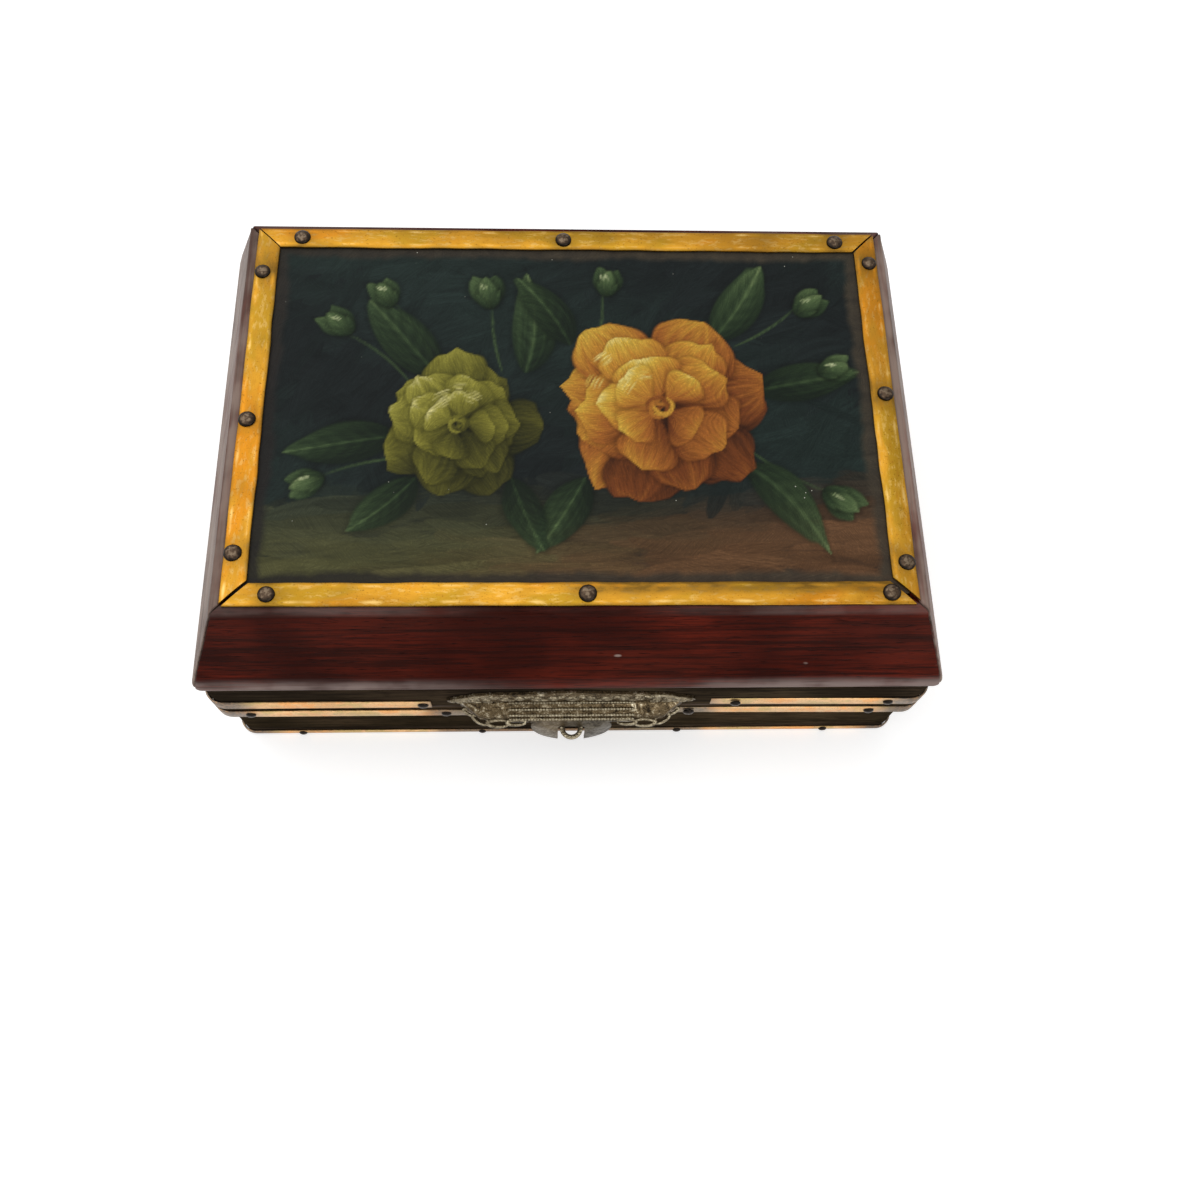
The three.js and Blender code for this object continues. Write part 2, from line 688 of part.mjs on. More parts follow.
// The stamped plate with its beaded hood and the two fixed knuckles of the hasp
function claspPlate() {
  const half = claspPlateLength / 2;
  const right = claspPlateShares.map(([x, z]) => new THREE.Vector2(x * half, z * claspPlateHeight));
  const left = right.map((point) => new THREE.Vector2(-point.x, point.y)).reverse();
  const outline = new THREE.Shape();
  outline.moveTo(left[left.length - 1].x, left[left.length - 1].y);
  outline.lineTo(right[0].x, right[0].y);
  outline.splineThru(right.slice(1));
  outline.quadraticCurveTo(0, 2 * claspPlateHeight - right[right.length - 1].y, left[0].x, left[0].y);
  outline.splineThru(left.slice(1));
  const plateFoot = skirtFoot + claspPlateRise;
  const plate = extruded(outline, claspPlateThickness, 2).rotateX(upright).translate(0, -trimGap, plateFoot);

  const hoodFoot = seamHeight + haspKnuckleRadius + jointGap;
  const curve = new THREE.Shape();
  curve.moveTo(-hoodSink, 0);
  curve.lineTo(-hoodSink - hoodDepth, 0);
  curve.absellipse(-hoodSink, 0, hoodDepth, hoodHeight, halfTurn, upright, true, 0);
  const straightHood = alongX(curve, hoodLength).translate(0, 0, hoodFoot);
  const plan = new THREE.Shape();
  plan.moveTo(-hoodLength / 2, cutOverrun - hoodSink);
  plan.lineTo(-hoodLength / 2, -hoodSink);
  plan.lineTo(-hoodFrontLength / 2, -hoodSink - hoodDepth - cutOverrun);
  plan.lineTo(hoodFrontLength / 2, -hoodSink - hoodDepth - cutOverrun);
  plan.lineTo(hoodLength / 2, -hoodSink);
  plan.lineTo(hoodLength / 2, cutOverrun - hoodSink);
  const planBlock = extruded(plan, hoodHeight + 2 * cutOverrun).translate(0, 0, hoodFoot - cutOverrun);
  const hood = shared(straightHood, planBlock);

  const beads = hoodBeadShares.map((share) => {
    const turn = share * upright;
    const y = -hoodSink - hoodDepth * Math.cos(turn);
    const z = hoodFoot + hoodHeight * Math.sin(turn);
    return bar(hoodBeadRadius, -hoodBeadLength / 2, hoodBeadLength / 2, 8).translate(0, y, z);
  });

  const knuckles = [];
  const inner = haspKnuckleLength / 2 + jointGap;
  const outer = hoodBeadLength / 2;
  const webFront = -haspAxisOut - haspKnuckleRadius / 2;
  const webBack = -haspAxisOut + haspKnuckleRadius / 2;
  for (const [low, high] of [[-outer, -inner], [inner, outer]]) {
    knuckles.push(bar(haspKnuckleRadius, low, high, knuckleSides).translate(0, -haspAxisOut, seamHeight));
    knuckles.push(block(low, high, webFront, webBack, seamHeight, hoodFoot + hoodSink));
  }
  const bore = bar(haspPinRadius + runningGap, -hoodBeadLength, hoodBeadLength, pinSides);
  return cut(joined(plate, hood, ...beads, ...knuckles), bore.translate(0, -haspAxisOut, seamHeight));
}

// Extrudes an outline drawn in Y and Z along X, centred on its length
function alongX(outline, length) {
  const geometry = extruded(outline, length, 6).translate(0, 0, -length / 2);
  return geometry.rotateX(upright).rotateZ(upright);
}

// The hasp: a domed flap on its own knuckle, slotted to drop over the staple. Drawn about its pin.
function haspFlap() {
  const back = -(haspKnuckleRadius - flapThickness);
  const dome = domedPlate(flapOutline(), flapThickness, flapBulge).translate(0, back, 0);
  const half = haspKnuckleLength / 2;
  const knuckle = bar(haspKnuckleRadius, -half, half, knuckleSides);
  const bore = bar(haspPinRadius + runningGap, -half - cutOverrun, half + cutOverrun, pinSides);
  return cut(joined(dome, knuckle), bore, stapleSlot());
}

// Flat top at the pin, shoulders that swell a little, and a half-ellipse below
function flapOutline() {
  const dropBelow = flapHeight - flapShoulderDrop;
  const outline = new THREE.Shape();
  outline.moveTo(flapTopLength / 2, 0);
  outline.lineTo(-flapTopLength / 2, 0);
  outline.quadraticCurveTo(-flapLength / 2, -flapShoulderDrop / 2, -flapLength / 2, -flapShoulderDrop);
  outline.absellipse(0, -flapShoulderDrop, flapLength / 2, dropBelow, halfTurn, 2 * halfTurn, false, 0);
  outline.quadraticCurveTo(flapLength / 2, -flapShoulderDrop / 2, flapTopLength / 2, 0);
  return outlinePoints(outline, 12);
}

// A plate of even thickness in X and Z that swells towards -Y in the middle
function domedPlate(outline, thickness, bulge) {
  const rings = 5;
  const count = outline.length;
  const middle = new THREE.Vector2(0, -flapHeight / 2);
  const positions = [];
  for (const offset of [0, -thickness]) {
    positions.push(middle.x, offset - bulge, middle.y);
    for (let ring = 1; ring <= rings; ring += 1) {
      const share = ring / rings;
      for (const corner of outline) {
        const point = middle.clone().lerp(corner, share);
        positions.push(point.x, offset - bulge * (1 - share * share), point.y);
      }
    }
  }
  const layer = 1 + rings * count;
  const at = (side, ring, i) => side * layer + 1 + (ring - 1) * count + (i % count);
  const index = [];
  const face = (side, a, b, c) => (side ? index.push(a, c, b) : index.push(a, b, c));
  for (const side of [0, 1]) {
    for (let i = 0; i < count; i += 1) {
      face(side, side * layer, at(side, 1, i + 1), at(side, 1, i));
      for (let ring = 1; ring < rings; ring += 1) {
        face(side, at(side, ring, i), at(side, ring, i + 1), at(side, ring + 1, i + 1));
        face(side, at(side, ring, i), at(side, ring + 1, i + 1), at(side, ring + 1, i));
      }
    }
  }
  for (let i = 0; i < count; i += 1) {
    index.push(at(0, rings, i), at(0, rings, i + 1), at(1, rings, i + 1));
    index.push(at(0, rings, i), at(1, rings, i + 1), at(1, rings, i));
  }
  const geometry = new THREE.BufferGeometry();
  geometry.setAttribute('position', new THREE.Float32BufferAttribute(positions, 3));
  geometry.setIndex(index);
  return geometry;
}

// The slot that clears the staple: open and flared at the bottom edge of the flap
function stapleSlot() {
  const half = slotLength / 2;
  const top = rimTop - stapleDrop + stapleWireRadius + slotHeadroom - seamHeight;
  const foot = -flapHeight - cutOverrun;
  const flareTop = -flapHeight + 2 * slotFlare;
  const outline = new THREE.Shape();
  outline.moveTo(-half - slotFlare, foot);
  outline.lineTo(half + slotFlare, foot);
  outline.lineTo(half + slotFlare, -flapHeight);
  outline.quadraticCurveTo(half, -flapHeight + slotFlare / 2, half, flareTop);
  const cornerX = half - slotCornerRadius;
  const cornerZ = top - slotCornerRadius;
  outline.lineTo(half, cornerZ);
  outline.absarc(cornerX, cornerZ, slotCornerRadius, 0, upright, false);
  outline.absarc(-cornerX, cornerZ, slotCornerRadius, upright, halfTurn, false);
  outline.lineTo(-half, flareTop);
  outline.quadraticCurveTo(-half, -flapHeight + slotFlare / 2, -half - slotFlare, -flapHeight);
  const depth = flapBulge + 2 * haspKnuckleRadius + 2 * cutOverrun;
  const front = -haspKnuckleRadius - flapBulge - cutOverrun;
  return extruded(outline, depth, 4).rotateX(upright).translate(0, front + depth, 0);
}

// Hinges

function buildHinges(body, lid) {
  for (const [side, x] of [['left', -hingeSpacing / 2], ['right', hingeSpacing / 2]]) {
    const bodyLeaf = hingeLeaf(-1, outerKnuckles);
    const lidLeaf = hingeLeaf(1, middleKnuckle);
    const pin = bar(hingePinRadius, -hingeLength / 2, hingeLength / 2, pinSides);
    place(body, `hinge_body_leaf_${side}`, bodyLeaf, agedBrass(), x, hingeAxisY, seamHeight);
    place(body, `hinge_pin_${side}`, pin, agedBrass(), x, hingeAxisY, seamHeight);
    place(lid, `hinge_lid_leaf_${side}`, lidLeaf, agedBrass(), x, hingeAxisY, seamHeight);
  }
}

const jewelryBox = new THREE.Group();
const body = buildBody();
const lid = buildLid();
buildHinges(body, lid);
jewelryBox.add(body, lid);

export default jewelryBox;
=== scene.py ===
"""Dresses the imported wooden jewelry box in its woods, brass, velvet and painted panel.

Laid out as a Blender add-on and run as a script. Metres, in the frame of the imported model:
+Z is up, the front with the hasp faces -Y, and the box stands on Z = 0.
"""

import contextlib
import json
import math

import bmesh
import bpy
import numpy as np
from bpy.props import FloatProperty, FloatVectorProperty, IntProperty, PointerProperty
from mathutils import Matrix, Vector


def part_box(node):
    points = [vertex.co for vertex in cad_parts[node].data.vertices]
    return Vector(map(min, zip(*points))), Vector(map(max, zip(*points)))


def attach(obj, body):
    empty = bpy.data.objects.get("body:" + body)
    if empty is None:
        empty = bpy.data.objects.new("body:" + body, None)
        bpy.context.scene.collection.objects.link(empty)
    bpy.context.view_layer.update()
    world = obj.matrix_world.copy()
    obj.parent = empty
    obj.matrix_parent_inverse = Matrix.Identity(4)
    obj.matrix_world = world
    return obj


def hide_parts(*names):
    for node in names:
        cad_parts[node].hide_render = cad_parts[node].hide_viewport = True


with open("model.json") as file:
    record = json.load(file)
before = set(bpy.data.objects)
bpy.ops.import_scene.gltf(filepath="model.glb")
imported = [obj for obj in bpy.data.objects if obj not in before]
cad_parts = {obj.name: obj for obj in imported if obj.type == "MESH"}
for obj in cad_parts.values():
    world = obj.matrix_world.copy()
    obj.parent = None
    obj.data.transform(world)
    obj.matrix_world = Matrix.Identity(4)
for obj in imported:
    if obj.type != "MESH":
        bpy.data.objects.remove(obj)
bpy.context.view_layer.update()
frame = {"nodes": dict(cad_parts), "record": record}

bl_info = {
    "name": "Jewelry Box Looks",
    "version": (1, 0, 0),
    "blender": (4, 5, 0),
    "location": "3D Viewport > Sidebar > Jewelry Box",
    "description": "Finishes and fine pieces for a wooden jewelry box",
    "category": "Object",
}

MM = 0.001
SIDES = ("back", "left", "front", "right")
LONG_SIDES = ("back", "front")
HANDS = ("left", "right")


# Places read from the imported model

def low(node):
    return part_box(node)[0]


def high(node):
    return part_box(node)[1]


def middle(node):
    return (low(node) + high(node)) / 2


FRAME_HALF_X = high("frame_strip_front").x
FRAME_HALF_Y = high("frame_strip_back").y
STRIP_FOOT = low("frame_strip_front").z
STRIP_WIDTH = high("frame_strip_front").y - low("frame_strip_front").y
LID_HALF_X = high("lid_slope_right").x
LID_HALF_Y = high("lid_slope_back").y
LID_TOP = high("painted_panel").z
NOSE_HEIGHT = low("lid_slope_front").z + 2.6 * MM
SLOPE_LEAN = 11.5 / 29.9  # Run over rise of the lid's slopes
SKIRT_HALF_X = high("lid_skirt_right").x
SKIRT_HALF_Y = high("lid_skirt_back").y
WALL_HALF_Y = high("wall_back").y


# Node trees

class Nodes:
    """A node tree, built by what each node is given."""

    def __init__(self, tree):
        self.tree = tree

    def feed(self, node, inputs):
        """Sets or links inputs, found by their names or places."""
        for key, value in inputs.items():
            socket = node.inputs[key]
            if isinstance(value, bpy.types.NodeSocket):
                self.tree.links.new(value, socket)
            elif socket.type == "RGBA":
                socket.default_value = (*value[:3], 1)
            else:
                socket.default_value = value

    def add(self, kind, inputs=None, output=0, **settings):
        """Adds a node and gives one of its outputs."""
        node = self.tree.nodes.new(kind)
        for name, value in settings.items():
            setattr(node, name, value)
        self.feed(node, inputs or {})
        return node.outputs[output]

    def calculate(self, kind, *values):
        return self.add("ShaderNodeMath", dict(enumerate(values)), operation=kind)


class Shader(Nodes):
    """A material and the nodes that feed its Principled BSDF."""

    def __init__(self, name, surface):
        self.material = bpy.data.materials.new(name)
        self.material.use_nodes = True
        super().__init__(self.material.node_tree)
        self.finished(surface)

    def finished(self, surface, *bumps):
        """The material, its surface fed. A bump is a height, the distance it stands for and its strength."""
        for height, distance, strength in bumps:
            below = {"Normal": surface["Normal"]} if "Normal" in surface else {}
            bump = self.add("ShaderNodeBump", {
                "Height": height, "Distance": distance, "Strength": strength, **below})
            surface = {**surface, "Normal": bump}
        self.feed(self.tree.nodes["Principled BSDF"], surface)
        return self.material

    def axis(self, letter, kind="Object"):
        """One part of a point's place or, for Normal, of the way it faces."""
        vector = self.add("ShaderNodeTexCoord", output=kind)
        return self.add("ShaderNodeSeparateXYZ", {"Vector": vector}, letter)

    def place(self, shift=(0, 0, 0), scale=(1, 1, 1)):
        """Object coordinates, stretched and shifted."""
        vector = self.add("ShaderNodeTexCoord", output="Object")
        return self.add("ShaderNodeMapping", {"Vector": vector, "Location": shift, "Scale": scale})

    def noise(self, vector, scale, detail=4.0, roughness=0.55, distortion=0.0):
        return self.add("ShaderNodeTexNoise", {
            "Vector": vector, "Scale": scale, "Detail": detail, "Roughness": roughness,
            "Distortion": distortion})

    def cells(self, vector, scale):
        return self.add("ShaderNodeTexVoronoi", {"Vector": vector, "Scale": scale})

    def span(self, value, low_in, high_in, low_out=0.0, high_out=1.0):
        """Turns one range of a value smoothly into another."""
        limits = dict(enumerate((value, low_in, high_in, low_out, high_out)))
        return self.add("ShaderNodeMapRange", limits, interpolation_type="SMOOTHSTEP")

    def times(self, first, second):
        return self.calculate("MULTIPLY", first, second)

    def plus(self, first, second):
        return self.calculate("ADD", first, second)

    def minus(self, first, second):
        return self.calculate("SUBTRACT", first, second)

    def size(self, value):
        return self.calculate("ABSOLUTE", value)

    def mix(self, color, *layers, blend="MIX"):
        """A colour under layers, each a share and a colour."""
        for share, layer in layers:
            color = self.add(
                "ShaderNodeMix", {0: share, 6: color, 7: layer}, 2,
                data_type="RGBA", blend_type=blend, clamp_factor=True)
        return color

    def ramp(self, share, *stops):
        """Colours between stops, each a position and a colour."""
        color = self.add("ShaderNodeValToRGB", {"Fac": share})
        elements = color.node.color_ramp.elements
        for position, _ in stops[2:]:
            elements.new(position)
        for element, (position, tone) in zip(elements, stops):
            element.position = position
            element.color = (*tone[:3], 1)
        return color


def off(x, y, distance, heading):
    """The point that lies some way from another."""
    return x + distance * math.cos(heading), y + distance * math.sin(heading)


def mixed(first, second, share):
    return tuple(a + (b - a) * share for a, b in zip(first, second))


def darker(color, share):
    return mixed(color, (0, 0, 0), share)


def toned(color, factors):
    return tuple(part * factor for part, factor in zip(color, factors))


def shifted(seed, steps):
    """Where a piece's own part of a pattern starts."""
    return toned((seed, seed, seed), steps)


def drawn(stretch, along_x):
    """The scale that draws a pattern out along x or y."""
    return (stretch, 1, 1) if along_x else (1, stretch, 1)


# Woods

WOOD_SHIFT = (0.137, 0.071, 0.053)
# Distances from the middle between which the wear and painted sheen beside the clasp grow to their full share
CLASP_SPARED = (12 * MM, 70 * MM)
# Depths behind a slope's outer face where its rub and painted sheen start and are full
SKIN_DEPTHS = (3.2 * MM, 1.8 * MM)
GRAIN_STRETCH = 0.05
DULL_RED = (0.042, 0.022, 0.015)
FLECK = (0.30, 0.22, 0.19)


def wood(name, deep, warm, along_x, seed, rubs_and_sheen=(), rub_and_sheen_color=None, gloss=0.36, shine=0.0, face=None):
    """Stained wood with its grain along one axis. Each rub is a height, a reach and a weight of a pale
    colour: wear, and painted sheen on the lid.

    Face gives the outer face of a sloped board, the only one that is rubbed and given painted sheen: how far
    out it is at the nose.
    """
    shader = Shader(name, {"Specular IOR Level": shine})
    shift = shifted(seed, WOOD_SHIFT)

    def drawn_out(stretch):
        return shader.place(shift, drawn(stretch, along_x))

    grain = drawn_out(GRAIN_STRETCH)
    plain = shader.place(shift)
    bands = shader.noise(grain, 190, 5, 0.6, 0.6)
    streaks = shader.noise(grain, 900, 4, 0.65, 0.3)
    pores = shader.span(shader.noise(drawn_out(GRAIN_STRETCH * 1.6), 2600, 2, 0.5), 0.58, 0.70, 0.0, 0.8)
    blotches = shader.span(shader.noise(plain, 22, 3, 0.5), 0.38, 0.64, 0.0, 0.75)
    fading = shader.span(shader.noise(drawn_out(0.3), 26, 2, 0.5), 0.42, 0.62, 0.0, 0.5)
    color = shader.ramp(
        shader.plus(shader.times(bands, 0.45), shader.times(streaks, 0.55)),
        (0.35, darker(deep, 0.5)), (0.45, deep), (0.55, mixed(deep, warm, 0.65)), (0.67, warm))
    color = shader.mix(
        color, (fading, mixed(deep, DULL_RED, 0.4)), (blotches, darker(deep, 0.4)),
        (pores, darker(deep, 0.7)))
    if rubs_and_sheen:
        # Pale rub: wear, and painted sheen where the varnish would reflect the surroundings
        paler = rub_and_sheen_mask(shader, rubs_and_sheen, grain, plain, "Y" if along_x else "X", face)
        color = shader.mix(color, (paler, rub_and_sheen_color))
    if face is not None:
        flecks = shader.span(shader.cells(drawn_out(0.6), 150), 0.13, 0.05)
        chosen = shader.times(flecks, shader.span(shader.noise(plain, 70, 1), 0.61, 0.65))
        color = shader.mix(color, (shader.times(chosen, shader.span(streaks, 0.35, 0.6, 0.2, 1.0)), FLECK))
    rough = shader.span(streaks, 0.3, 0.7, gloss - 0.05, gloss + 0.12)
    return shader.finished(
        {"Base Color": color, "Roughness": rough}, (shader.minus(streaks, pores), 0.06 * MM, 0.55),
        (shader.noise(plain, 55, 3), 0.4 * MM, 0.35))


def rub_and_sheen_mask(shader, rubs_and_sheen, grain, plain, outward, face):
    """Where the edges are pale with wear and painted sheen, broken up along the grain and least so above the
    clasp.
    """
    height = shader.axis("Z")
    mask = 0.0
    for rub_and_sheen_height, reach, weight in rubs_and_sheen:
        away = shader.size(shader.minus(height, rub_and_sheen_height))
        mask = shader.calculate("MAXIMUM", mask, shader.span(away, reach, reach * 0.15, 0.0, weight))
    mask = shader.times(mask, shader.span(shader.size(shader.axis("X")), *CLASP_SPARED, 0.12, 1.0))
    if face is not None:
        lean = shader.times(shader.minus(height, NOSE_HEIGHT), SLOPE_LEAN)
        out = shader.plus(shader.size(shader.axis(outward)), lean)
        mask = shader.times(mask, shader.span(out, *(face - depth for depth in SKIN_DEPTHS)))
    broken = shader.times(shader.noise(grain, 420, 4), shader.noise(plain, 60, 3))
    return shader.times(mask, shader.span(broken, 0.12, 0.32, 0.30, 1.0))


# Metals

METAL_SHIFT = (0.173, 0.091, 0.037)
ORANGER = (1.02, 0.80, 0.55)
GREENER = (0.72, 0.82, 0.70)
# Golden tint of polished spots and of painted highlights
POLISH_AND_HIGHLIGHT = (1, 0.86, 0.40)
# Where the bands' darkening starts and is full: in from the skirt's end and front, and beside the middle
END_DARKENING = (18 * MM, 7 * MM)
FRONT_DARKENING = (16 * MM, 6 * MM)
CLASP_DARKENING = (50 * MM, 42 * MM)


def brass(name, bright, tarnish, stain, where, seed, rough, patches, tarnished, pits, stretch=(1, 1, 1)):
    """Sheet brass with tarnish in patches. Where gives the share of stain, and below 0 of painted highlight.
    """
    shader = Shader(name, {"Metallic": 1.0})
    shift = shifted(seed, METAL_SHIFT)
    plain = shader.place(shift)
    drawn_out = shader.place(shift, stretch)
    broad = shader.noise(drawn_out, patches, 5, 0.6, 0.4)
    fine = shader.noise(drawn_out, patches * 22, 4, 0.65)
    hue = shader.noise(shader.place((shift[1], shift[2], shift[0]), stretch), patches * 1.7, 3, 0.55)
    specks = shader.noise(plain, patches * 45, 2, 0.5)
    aged = shader.times(shader.span(broad, 0.40, 0.66), shader.span(fine, 0.2, 0.75, 0.6, 1.1))
    polish_and_highlight = mixed(bright, POLISH_AND_HIGHLIGHT, 0.30)
    stain_and_highlight = where(shader)
    color = shader.mix(
        bright,
        (shader.times(aged, tarnished), tarnish),
        (shader.span(hue, 0.51, 0.59, 0.0, 0.9), toned(bright, ORANGER)),
        (shader.span(hue, 0.48, 0.39, 0.0, 0.95), toned(bright, GREENER)),
        (shader.span(fine, 0.51, 0.66, 0.0, 0.42), polish_and_highlight),
        (shader.span(fine, 0.47, 0.34, 0.0, 0.5), tarnish),
        (shader.times(stain_and_highlight, shader.span(fine, 0.25, 0.7, 0.65, 1.15)), stain),
        # Painted highlight where the share is below 0
        (shader.span(stain_and_highlight, 0.0, -1.0), polish_and_highlight),
        (shader.span(specks, 0.62, 0.72, 0.0, 0.7), darker(tarnish, 0.5)))
    rough = shader.span(shader.plus(aged, fine), 0.3, 1.3, rough, rough + 0.22)
    return shader.finished(
        {"Base Color": color, "Roughness": rough}, (fine, 0.10 * MM, pits),
        (shader.noise(plain, 60, 3), 0.6 * MM, 0.3))


# Share of stain on the strips' points, below 0 painted highlight
def stain_and_highlight_by_vertex(shader):
    return shader.add("ShaderNodeAttribute", output="Fac", attribute_name="Stain")


def darker_at_corners(shader):
    """Where the bands are darker: round the corners and beside the clasp."""
    x, y = (shader.size(shader.axis(letter)) for letter in "XY")
    corner = shader.times(
        shader.span(x, *(SKIRT_HALF_X - reach for reach in END_DARKENING)),
        shader.span(y, *(SKIRT_HALF_Y - reach for reach in FRONT_DARKENING)))
    front = shader.span(shader.axis("Y"), 5 * MM - WALL_HALF_Y, 2 * MM - WALL_HALF_Y)
    clasp = shader.times(shader.span(x, *CLASP_DARKENING, 0.0, 0.85), front)
    return shader.calculate("MAXIMUM", corner, clasp)


def worn_brass(name, seed, light, middle_tone, dark, scale=420.0, pits=0.6, shaded=None):
    """Cast brass, dark in its hollows and rubbed bright on what stands up. Shaded darkens it to the right."""
    shader = Shader(name, {"Metallic": 1.0})
    plain = shader.place(shifted(seed, METAL_SHIFT))
    coarse = shader.noise(plain, scale, 4, 0.65, 0.8)
    fine = shader.noise(plain, scale * 5, 3, 0.65)
    height = shader.plus(shader.times(coarse, 0.62), shader.times(fine, 0.38))
    color = shader.ramp(
        height, (0.38, dark), (0.46, mixed(dark, middle_tone, 0.55)), (0.54, middle_tone), (0.66, light))
    if shaded is not None:
        share = shader.span(shader.axis("X"), -4 * MM, 5 * MM, 0.0, 0.75)
        color = shader.mix(color, (share, shaded), blend="MULTIPLY")
    rough = shader.span(height, 0.4, 0.6, 0.52, 0.30)
    return shader.finished(
        {"Base Color": color, "Roughness": rough}, (fine, 0.12 * MM, pits), (coarse, 0.4 * MM, pits * 0.8))


# Meshes

def add_object(name, data):
    piece = bpy.data.objects.new(name, data)
    bpy.context.scene.collection.objects.link(piece)
    return piece


def mesh_from(name, points, faces, edges=()):
    mesh = bpy.data.meshes.new(name)
    mesh.from_pydata([tuple(point) for point in points], edges, faces)
    mesh.update()
    return mesh


def paths_mesh(name, paths):
    """A mesh of the edges along each path."""
    points, edges = [], []
    for path in paths:
        edges += [(len(points) + step, len(points) + step + 1) for step in range(len(path) - 1)]
        points += path
    return mesh_from(name, points, [], edges)


def grid_faces(rows, columns):
    """The places of a grid's points, and the quads between them."""
    index = np.arange(rows * columns).reshape(rows, columns)
    quads = np.stack([index[:-1, :-1], index[:-1, 1:], index[1:, 1:], index[1:, :-1]], -1).reshape(-1, 4)
    return index, quads


def ring_faces(rings, sides, start=0):
    """Quads between rings of points, each ring closed on itself."""
    faces = []
    for ring in range(rings - 1):
        for side in range(sides):
            here = start + ring * sides + side
            after = start + ring * sides + (side + 1) % sides
            faces.append((here, after, after + sides, here + sides))
    return faces


def keep_on_points(mesh, name, kind, field, values):
    """Keeps values on a mesh's points under a name that its tree or material reads."""
    mesh.attributes.new(name, kind, "POINT").data.foreach_set(field, values)


def smooth(mesh, angle=35.0):
    mesh.polygons.foreach_set("use_smooth", [True] * len(mesh.polygons))
    mesh.set_sharp_from_angle(angle=math.radians(angle))


@contextlib.contextmanager
def opened(mesh, source=None):
    """Opens a mesh, or another that it is made from, and writes the changed form to it."""
    form = bmesh.new()
    form.from_mesh(source or mesh)
    yield form
    form.to_mesh(mesh)
    form.free()


def face_outward(mesh):
    """Merges the doubles of a closed mesh and turns its faces outward."""
    with opened(mesh) as form:
        bmesh.ops.remove_doubles(form, verts=form.verts, dist=1e-7)
        bmesh.ops.recalc_face_normals(form, faces=form.faces)


def settle(piece):
    """Applies a piece's modifiers, so that it is a plain mesh."""
    graph = bpy.context.evaluated_depsgraph_get()
    finished = piece.evaluated_get(graph)
    result = bpy.data.meshes.new_from_object(finished, preserve_all_data_layers=True, depsgraph=graph)
    piece.modifiers.clear()
    result.name = piece.name
    piece.data = result
    return piece


def eased_copy(node, width, segments, angle):
    """A merged copy of a CAD node with its sharp edges rounded."""
    mesh = bpy.data.meshes.new(f"{node}_eased")
    with opened(mesh, frame["nodes"][node].data) as form:
        for layer in list(form.loops.layers.float_vector.values()):
            form.loops.layers.float_vector.remove(layer)
        bmesh.ops.remove_doubles(form, verts=form.verts, dist=2e-6)
        bmesh.ops.dissolve_limit(form, angle_limit=math.radians(0.4), verts=form.verts, edges=form.edges)
    piece = add_object(mesh.name, mesh)
    bevel = piece.modifiers.new("Eased edges", "BEVEL")
    bevel.width = width
    bevel.segments = segments
    bevel.limit_method = "ANGLE"
    bevel.angle_limit = math.radians(angle)
    bevel.use_clamp_overlap = True
    smooth(settle(piece).data)
    return piece


def round_corners(piece, half_x, half_y, radius):
    """Turns the square corners of a box's plan into arcs."""
    with opened(piece.data) as form:
        for axis, half in ((0, half_x), (1, half_y)):
            for hand in (-1, 1):
                for share in (0, 0.3, 0.55, 0.75, 0.9):
                    place, way = [0, 0, 0], [0, 0, 0]
                    place[axis] = hand * (half - radius * (1 - share))
                    way[axis] = 1
                    geometry = form.verts[:] + form.edges[:] + form.faces[:]
                    bmesh.ops.bisect_plane(form, geom=geometry, plane_co=place, plane_no=way)
        for point in form.verts:
            over_x = abs(point.co.x) - (half_x - radius)
            over_y = abs(point.co.y) - (half_y - radius)
            if over_x > 0 and over_y > 0:
                reach, angle = max(over_x, over_y), math.atan2(over_y, over_x)
                point.co.x = math.copysign(half_x - radius + reach * math.cos(angle), point.co.x)
                point.co.y = math.copysign(half_y - radius + reach * math.sin(angle), point.co.y)
    smooth(piece.data)


def seat(piece, body, material=None, replaced=()):
    """Gives a finished piece its material and body."""
    if material is not None:
        piece.data.materials.clear()
        piece.data.materials.append(material)
    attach(piece, body)
    if replaced:
        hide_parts(*replaced)
    return piece


def body_of(node):
    bodies = frame["record"]["behaviour"]["bodies"]
    return next(body for body, nodes in bodies.items() if node in nodes)


def dress(node, material, width, segments=2, angle=30.0):
    """Stands an eased copy in for a CAD node."""
    return seat(eased_copy(node, width, segments, angle), body_of(node), material, [node])


# Geometry Nodes: heads on points, and beads and ridges along a path

class GeometryTree(Nodes):
    """A geometry tree with named inputs. The material that it sets is always one of them."""

    def __init__(self, name, inputs):
        super().__init__(bpy.data.node_groups.new(name, "GeometryNodeTree"))
        for label, kind in (*inputs.items(), ("Finish", "Material")):
            self.tree.interface.new_socket(label, in_out="INPUT", socket_type=f"NodeSocket{kind}")
        self.tree.interface.new_socket("Geometry", in_out="OUTPUT", socket_type="NodeSocketGeometry")
        self.given = self.tree.nodes.new("NodeGroupInput").outputs

    def ended(self, instances):
        """Every tree ends in Realize Instances and Set Material."""
        real = self.add("GeometryNodeRealizeInstances", {0: instances})
        finished = self.add("GeometryNodeSetMaterial", {"Geometry": real, "Material": self.given["Finish"]})
        self.feed(self.tree.nodes.new("NodeGroupOutput"), {0: finished})
        return self.tree


